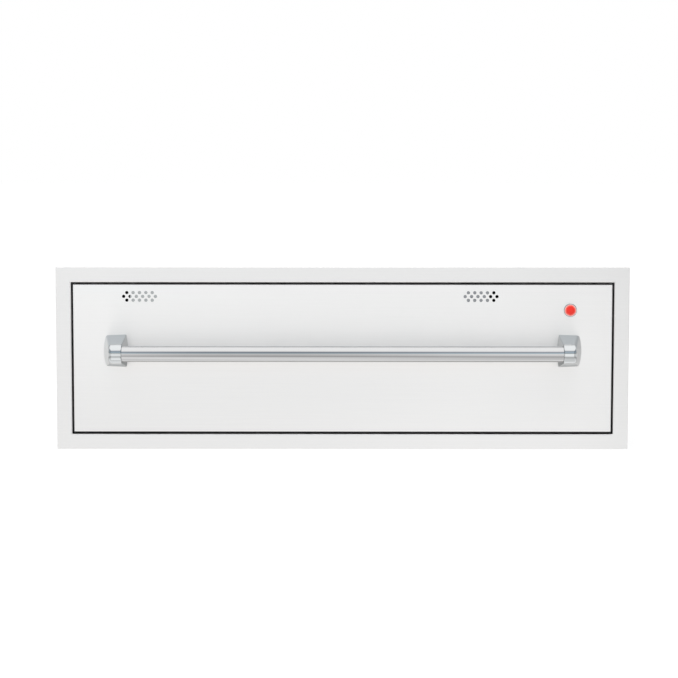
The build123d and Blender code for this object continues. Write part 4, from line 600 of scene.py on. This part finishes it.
SIDES = ("left", "right")
FINISHES = {
    steel_frame: ["face_frame"],
    steel_front: ["front_skin"],
    steel_liner: ["front_liner"],
    steel_tub: ["drawer_tub", "heater_cover", "heater_supports", "sensor_clips"],
    steel_shutter_left: ["vent_shutter_left"],
    steel_shutter_right: ["vent_shutter_right"],
    steel_casing: [
        "casing_bottom", "casing_top", "casing_back", "casing_side_left", "casing_side_right", "seal_rim",
        "ceiling_shield", "junction_box", "junction_cover", "slide_standoffs", "drawer_shell",
        "terminal_cover", "vent_guides",
    ],
    steel_slide: [f"{part}_slide_{side}" for part in ("outer", "middle", "inner") for side in SIDES],
    steel_cage: [f"{part}_ball_cage_{side}" for part in ("outer", "inner") for side in SIDES],
    steel_screw: [
        "casing_screws", "drawer_screws", "handle_screws", "indicator_nut", "heater_glands",
        "thermostat_shaft",
    ],
    chrome: ["indicator_bezel"],
    polished_bracket: ["handle_bracket_left", "handle_bracket_right"],
    polished_bar: ["handle_bar"],
    chrome_wire: ["food_rack"],
    sheath: ["heater_element"],
    copper: ["thermostat_sensor"],
    black_plastic: [
        "thermostat_body", "thermostat_knob", "cord_bushing", "lead_grommet", "vent_tab_left",
        "vent_tab_right",
    ],
    seal_black: ["door_gasket"],
    lead_black: ["coiled_lead"],
    wool: ["front_insulation", "tub_insulation", "ceiling_insulation"],
    red: ["indicator_lens"],
    ceramic: ["terminal_block"],
    sleeve: ["wire_harness"],
    dial_metal: ["thermostat_dial"],
}


def dress_nodes():
    """Gives every carried-over node its finish."""
    dressed = set()
    for finish, names in FINISHES.items():
        for name in names:
            node = nodes[name]
            node.data.materials.clear()
            node.data.materials.append(finish)
            dressed.add(name)
    assert dressed == set(nodes), set(nodes) ^ dressed


dress_nodes()


# ---- pieces made here ------------------------------------------------------------------------------------


def new_piece(name, mesh, finish, body=None):
    """A mesh object of the drawer, with its finish and the body it rides on."""
    made = bpy.data.objects.new(name, mesh)
    bpy.context.scene.collection.objects.link(made)
    mesh.materials.clear()
    mesh.materials.append(finish)
    if body:
        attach(made, body)
    return made


def smooth_mesh(name, builder):
    """A mesh from a bmesh, with smooth shading and outward normals."""
    mesh = bpy.data.meshes.new(name)
    bmesh.ops.recalc_face_normals(builder, faces=builder.faces)
    builder.to_mesh(mesh)
    builder.free()
    for polygon in mesh.polygons:
        polygon.use_smooth = True
    return mesh


def ring_faces(builder, low, high):
    """A band of faces between two closed rings of as many points."""
    count = len(low)
    for k in range(count):
        after = (k + 1) % count
        builder.faces.new((low[k], high[k], high[after], low[after]))


def sweep_tube(builder, path, radius, sides):
    """A round tube along a list of points, with closed ends."""
    rings = []
    normal = None
    for i, point in enumerate(path):
        ahead = path[min(i + 1, len(path) - 1)] - path[max(i - 1, 0)]
        ahead.normalize()
        if normal is None:
            normal = ahead.orthogonal().normalized()
        normal = (normal - ahead * normal.dot(ahead)).normalized()
        across = ahead.cross(normal)
        ring = []
        for k in range(sides):
            turn = 2 * math.pi * k / sides
            outward = normal * math.cos(turn) + across * math.sin(turn)
            ring.append(builder.verts.new(point + outward * radius))
        rings.append(ring)
    for low, high in zip(rings, rings[1:]):
        ring_faces(builder, low, high)
    builder.faces.new(list(reversed(rings[0])))
    builder.faces.new(rings[-1])


LEAD_RADIUS = 0.0025
LEAD_SIDES = 10
LEAD_FRONT_TAIL, LEAD_BACK_TAIL = 0.013, 0.019  # straight ends, before and after the coil
TAIL_STEPS = 4
COIL_TURNS = 9
COIL_TURN_STEPS = 24
COIL_ENTRY_TURNS = 0.6  # over which the coil widens from its axis


def make_coiled_lead():
    """Coiled lead from the drawer's terminal cover to the grommet in the casing's back."""
    middle_x = (lead_low.x + lead_high.x) / 2
    middle_z = (lead_low.z + lead_high.z) / 2
    wind = (lead_high.x - lead_low.x) / 2 - LEAD_RADIUS
    start, end = lead_low.y, lead_high.y
    coil_start, coil_end = start + LEAD_FRONT_TAIL, end - LEAD_BACK_TAIL
    path = []
    for i in range(TAIL_STEPS):
        path.append(Vector((middle_x, start + LEAD_FRONT_TAIL * i / TAIL_STEPS, middle_z)))
    steps = COIL_TURNS * COIL_TURN_STEPS
    for i in range(steps + 1):
        turn = COIL_TURNS * i / steps
        widen = min(turn, COIL_TURNS - turn, COIL_ENTRY_TURNS) / COIL_ENTRY_TURNS
        reach = wind * (widen * widen * (3 - 2 * widen))
        angle = 2 * math.pi * turn
        y = coil_start + (coil_end - coil_start) * i / steps
        path.append(Vector((middle_x + reach * math.cos(angle), y, middle_z + reach * math.sin(angle))))
    for i in range(1, TAIL_STEPS + 1):
        path.append(Vector((middle_x, coil_end + LEAD_BACK_TAIL * i / TAIL_STEPS, middle_z)))
    builder = bmesh.new()
    sweep_tube(builder, path, LEAD_RADIUS, LEAD_SIDES)
    mesh = smooth_mesh("coiled_lead_turns", builder)
    lead = new_piece("coiled_lead_turns", mesh, lead_black)
    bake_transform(lead)
    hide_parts("coiled_lead")


LENS_DOME = 0.0021
LENS_INSET = 0.0002
PEBBLES_ACROSS = 6.5  # in the lens's radius
PEBBLE_HEIGHT = 0.00016
PEBBLE_FADE = 6  # power of the distance with which the pebbles fade out at the rim
LENS_RINGS = 60
LENS_SPOKES = 120


def lens_depth(x, z, radius):
    """Depth of the lens's surface behind its foremost plane, at a place measured from its middle."""
    wave = radius / PEBBLES_ACROSS
    share = math.hypot(x, z) / radius
    pebble = math.cos(2 * math.pi * x / wave) * math.cos(2 * math.pi * z / wave)
    fade = 1 - share ** PEBBLE_FADE
    return LENS_INSET + LENS_DOME * share ** 2 + PEBBLE_HEIGHT * (1 - pebble) * fade / 2


def make_lens():
    """Pebbled lens: a dome covered in small round facets."""
    radius = (lens_high.x - lens_low.x) / 2
    builder = bmesh.new()
    middle = builder.verts.new((lens_middle.x, lens_low.y + lens_depth(0, 0, radius), lens_middle.z))
    rings = []
    for i in range(1, LENS_RINGS + 1):
        distance = radius * i / LENS_RINGS
        ring = []
        for k in range(LENS_SPOKES):
            turn = 2 * math.pi * k / LENS_SPOKES
            x, z = distance * math.cos(turn), distance * math.sin(turn)
            y = lens_low.y + lens_depth(x, z, radius)
            ring.append(builder.verts.new((lens_middle.x + x, y, lens_middle.z + z)))
        rings.append(ring)
    for k in range(LENS_SPOKES):
        builder.faces.new((middle, rings[0][k], rings[0][(k + 1) % LENS_SPOKES]))
    rings.append([builder.verts.new((vert.co.x, lens_high.y, vert.co.z)) for vert in rings[-1]])
    for low, high in zip(rings, rings[1:]):
        ring_faces(builder, low, high)
    builder.faces.new(rings[-1])
    mesh = smooth_mesh("indicator_lens_pebbled", builder)
    lens = new_piece("indicator_lens_pebbled", mesh, red, "drawer")
    lens.visible_glossy = False
    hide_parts("indicator_lens")


def flat_text(words, size, depth):
    """A mesh of raised lettering, centred on its own origin, in the XY plane."""
    curve = bpy.data.curves.new("words", "FONT")
    curve.body = words
    curve.size = size
    curve.extrude = depth
    curve.align_x = "CENTER"
    curve.align_y = "CENTER"
    temporary = bpy.data.objects.new("words", curve)
    bpy.context.scene.collection.objects.link(temporary)
    bpy.context.view_layer.update()
    depsgraph = bpy.context.evaluated_depsgraph_get()
    mesh = bpy.data.meshes.new_from_object(temporary.evaluated_get(depsgraph))
    bpy.data.objects.remove(temporary)
    bpy.data.curves.remove(curve)
    return mesh


DIAL_WORDS = ["OFF", "1", "2", "3", "4", "5", "6"]
DIAL_TURN = 270.0  # degrees from OFF to the last number
WORD_SIZE, NUMBER_SIZE = 0.0034, 0.0042
PRINT_DEPTH = 0.00005
PRINT_LIFT = 0.00008  # of the print's middle off the plate
PRINT_CLEARANCE = 0.0027  # from the knob's edge to a number above or below it
SIDE_CLEARANCE = 0.003  # more beside the knob, where a number's width counts
BESIDE_KNOB = 0.75  # upward part of a number's direction, below which it stands beside the knob
PLATE_MARGIN = 0.001


def make_dial_print():
    """Numbers printed on the dial plate, read from inside the drawer."""
    middle = (knob_low + knob_high) / 2
    middle.y = dial_high.y + PRINT_LIFT
    knob_radius = (knob_high.x - knob_low.x) / 2
    builder = bmesh.new()
    # seen from behind, +X is to the left, so the print is turned half way round the upright axis
    facing = Matrix.Rotation(math.pi, 4, "Z") @ Matrix.Rotation(math.pi / 2, 4, "X")
    for i, words in enumerate(DIAL_WORDS):
        turn = math.radians(DIAL_TURN * i / (len(DIAL_WORDS) - 1))
        outward = Vector((-math.sin(turn), 0, math.cos(turn)))
        reach = knob_radius + PRINT_CLEARANCE
        if abs(outward.z) < BESIDE_KNOB:
            reach += SIDE_CLEARANCE
        place = middle + outward * reach
        if not dial_low.z + PLATE_MARGIN < place.z < dial_high.z - PLATE_MARGIN:
            continue
        letters = flat_text(words, WORD_SIZE if words == "OFF" else NUMBER_SIZE, PRINT_DEPTH)
        letters.transform(Matrix.Translation(place) @ facing)
        builder.from_mesh(letters)
        bpy.data.meshes.remove(letters)
    mesh = bpy.data.meshes.new("dial_print")
    builder.to_mesh(mesh)
    builder.free()
    new_piece("dial_print", mesh, ink, "drawer")


make_coiled_lead()
make_lens()
make_dial_print()


# ---- studio ----------------------------------------------------------------------------------------------

FLOOR_HALF = 30.0
FLOOR_SHOWN = 1.12  # how bright the floor's own glow is
FLOOR_LIT_SHARE = 0.25  # of its look that comes from the light on it, which carries the shadow
FLOOR_GREY = 0.9


def seen_white(n):
    """The kinds of ray, and 1 for those that see the stage's own white: the camera's and those in glass."""
    path = n.node("ShaderNodeLightPath").outputs
    return path, n.math("MAXIMUM", path["Is Camera Ray"], path["Is Transmission Ray"])


def floor_white():
    """A floor that shows its own white to the camera and to mirrors, and keeps soft shadows."""
    material = bpy.data.materials.new("floor_white")
    material.use_nodes = True
    material.node_tree.nodes.clear()
    n = Nodes(material.node_tree)
    path, seen = seen_white(n)
    glow_share = n.math("MULTIPLY", n.math("MAXIMUM", seen, path["Is Glossy Ray"]), 1 - FLOOR_LIT_SHARE)
    diffuse = n.node("ShaderNodeBsdfDiffuse", {"Color": (FLOOR_GREY, FLOOR_GREY, FLOOR_GREY, 1)}).outputs[0]
    glow = n.node("ShaderNodeEmission", {"Color": (1, 1, 1, 1), "Strength": FLOOR_SHOWN}).outputs[0]
    n.node("ShaderNodeOutputMaterial", {"Surface": n.choose(glow_share, diffuse, glow)})
    return material


def make_floor():
    mesh = bpy.data.meshes.new("floor")
    corners = [(x * FLOOR_HALF, y * FLOOR_HALF, FLOOR_Z) for x, y in ((-1, -1), (1, -1), (1, 1), (-1, 1))]
    mesh.from_pydata(corners, [], [(0, 1, 2, 3)])
    floor = bpy.data.objects.new("floor", mesh)
    bpy.context.scene.collection.objects.link(floor)
    mesh.materials.append(floor_white())
    floor.visible_glossy = False


# What metal mirrors: brightness by height above the horizon, in degrees, in front of the object
DUSK = (0.42, 0.47, 0.53)
HAZE = (0.58, 0.70, 0.78)
FRONT_BANDS = [
    (-90, 1.12), (-64, 1.10), (-50, 1.12), (-19, 1.12), (-12, 1.01), (9, 1.01), (11.5, HAZE), (21, HAZE),
    (23, DUSK), (36, DUSK), (41, 1.0), (50, 1.42), (90, 1.45),
]
# and behind it
BACK_BANDS = [
    (-90, 1.1), (-60, 1.0), (-30, 0.95), (-8, 1.05), (-1, 0.85), (3, 0.70), (10, 0.80), (24, 1.0), (50, 1.1),
    (56, 1.35), (90, 1.45),
]
# share of it by direction to either side of straight ahead, in degrees, within a height of the horizon
SIDE_BANDS = [
    (-60, 0.78), (-29, 0.80), (-26, 1.3), (-21, 1.3), (-19, 1.0), (-17, 0.45), (-12, 0.45), (-10, 1.52),
    (-7, 1.14), (-4.4, 0.885), (-2.2, 0.85), (0, 0.89), (2.3, 1.025), (4.5, 1.155), (7, 1.20), (10, 1.24),
    (12, 0.45), (17, 0.45), (20, 0.56), (25, 0.60), (30, 0.80), (60, 0.78),
]
SIDE_BANDS_HEIGHT = 42
# share of it lower down, which falls from left to right
LOW_START = -33
LOW_SLOPE = -1.6
LOW_DARKEST, LOW_MIDDLE, LOW_LIGHTEST = 0.68, 0.88, 1.10
# share of it below and well to either side, from the first to the second angle in degrees
FAR_LOW = 0.74
FAR_ASIDE = (13, 18)
FAR_BELOW = (-15, -23)
AMBIENT = 0.8  # strength of the even light that matt surfaces get


def part_way(n, angle, low, high):
    """Runs from 0 to 1 as an angle does from low to high; the angle is in radians, and these in degrees."""
    return n.math("DIVIDE", n.math("SUBTRACT", angle, math.radians(low)), math.radians(high - low))


def clamped(n, value, low=0.0, high=1.0):
    return n.math("MINIMUM", n.math("MAXIMUM", value, low), high)


def banded_studio(n):
    """Colour of the studio that metal mirrors, by direction."""
    direction = n.node("ShaderNodeTexCoord").outputs["Generated"]
    x, y, z = n.node("ShaderNodeSeparateXYZ", {0: direction}).outputs
    height = n.math("ARCSINE", z)
    ahead = n.math("MULTIPLY", y, -1.0)
    turn = n.math("ARCTAN2", x, ahead)
    front = n.ramp(part_way(n, height, -90, 90), on_scale(FRONT_BANDS, -90, 90))
    back = n.ramp(part_way(n, height, -90, 90), on_scale(BACK_BANDS, -90, 90))
    sides = n.ramp(part_way(n, turn, -60, 60), on_scale(SIDE_BANDS, -60, 60))

    near_level = n.math("LESS_THAN", n.math("ABSOLUTE", height), math.radians(SIDE_BANDS_HEIGHT))
    share = n.mix(near_level, (1, 1, 1), sides)
    sloped = n.math("ADD", n.math("MULTIPLY", x, LOW_SLOPE), LOW_MIDDLE)
    low_share = clamped(n, sloped, LOW_DARKEST, LOW_LIGHTEST)
    share = n.mix(n.math("LESS_THAN", height, math.radians(LOW_START)), share, low_share)
    aside = clamped(n, part_way(n, n.math("ABSOLUTE", turn), *FAR_ASIDE))
    below = clamped(n, part_way(n, height, *FAR_BELOW))
    share = n.mix(n.math("MULTIPLY", aside, below), share, (FAR_LOW, FAR_LOW, FAR_LOW))
    return n.mix(n.math("GREATER_THAN", ahead, 0.0), back, n.mix(1.0, front, share, "MULTIPLY"))


def make_world():
    """White background for the camera, soft even light on the object, and a banded studio in mirrors."""
    world = bpy.data.worlds.new("studio")
    bpy.context.scene.world = world
    world.use_nodes = True
    world.node_tree.nodes.clear()
    n = Nodes(world.node_tree)

    def background(strength, colour=(1, 1, 1, 1)):
        return n.node("ShaderNodeBackground", {"Strength": strength, "Color": colour}).outputs[0]

    path, seen = seen_white(n)
    unseen = n.choose(path["Is Glossy Ray"], background(AMBIENT), background(1.0, banded_studio(n)))
    n.node("ShaderNodeOutputWorld", {"Surface": n.choose(seen, unseen, background(1.0))})


OBJECT_MIDDLE = Vector((0, 0, (face_low.z + face_high.z) / 2))
# name, place, width and height, and power in watts
LAMPS = [
    ("lamp_above", (-0.4, -1.2, 2.6), (2.4, 1.6), 26.0),
    ("lamp_front", (-1.6, -2.6, 1.0), (1.6, 1.2), 10.0),
]


def make_lamps():
    """Large soft rectangular lamps, aimed at the middle of the front."""
    for name, place, size, power in LAMPS:
        data = bpy.data.lights.new(name, "AREA")
        data.shape = "RECTANGLE"
        data.size, data.size_y = size
        data.energy = power
        lamp = bpy.data.objects.new(name, data)
        bpy.context.scene.collection.objects.link(lamp)
        lamp.location = place
        lamp.rotation_euler = (OBJECT_MIDDLE - Vector(place)).to_track_quat("-Z", "Y").to_euler()
        lamp.visible_glossy = False


# ---- camera ----------------------------------------------------------------------------------------------

CAMERA_LENS_MM = 110.0
SENSOR_MM = 36.0
CAMERA_X = -0.00609
CAMERA_DISTANCE = 3.4855
CAMERA_Z = 0.47583
CAMERA_PITCH_DEGREES = 5.129
CAMERA_ROLL_DEGREES = 0.04


def make_camera():
    data = bpy.data.cameras.new("camera")
    data.lens = CAMERA_LENS_MM
    data.sensor_width = SENSOR_MM
    data.sensor_fit = "HORIZONTAL"
    data.clip_end = 100
    camera = bpy.data.objects.new("camera", data)
    bpy.context.scene.collection.objects.link(camera)
    camera.location = (CAMERA_X, -CAMERA_DISTANCE, CAMERA_Z)
    roll = Matrix.Rotation(math.radians(CAMERA_ROLL_DEGREES), 4, "Z")
    pitch = Matrix.Rotation(math.radians(90 - CAMERA_PITCH_DEGREES), 4, "X")
    camera.rotation_euler = (pitch @ roll).to_euler()
    bpy.context.scene.camera = camera


make_floor()
make_world()
make_lamps()
make_camera()
bpy.context.scene.view_settings.view_transform = "Standard"
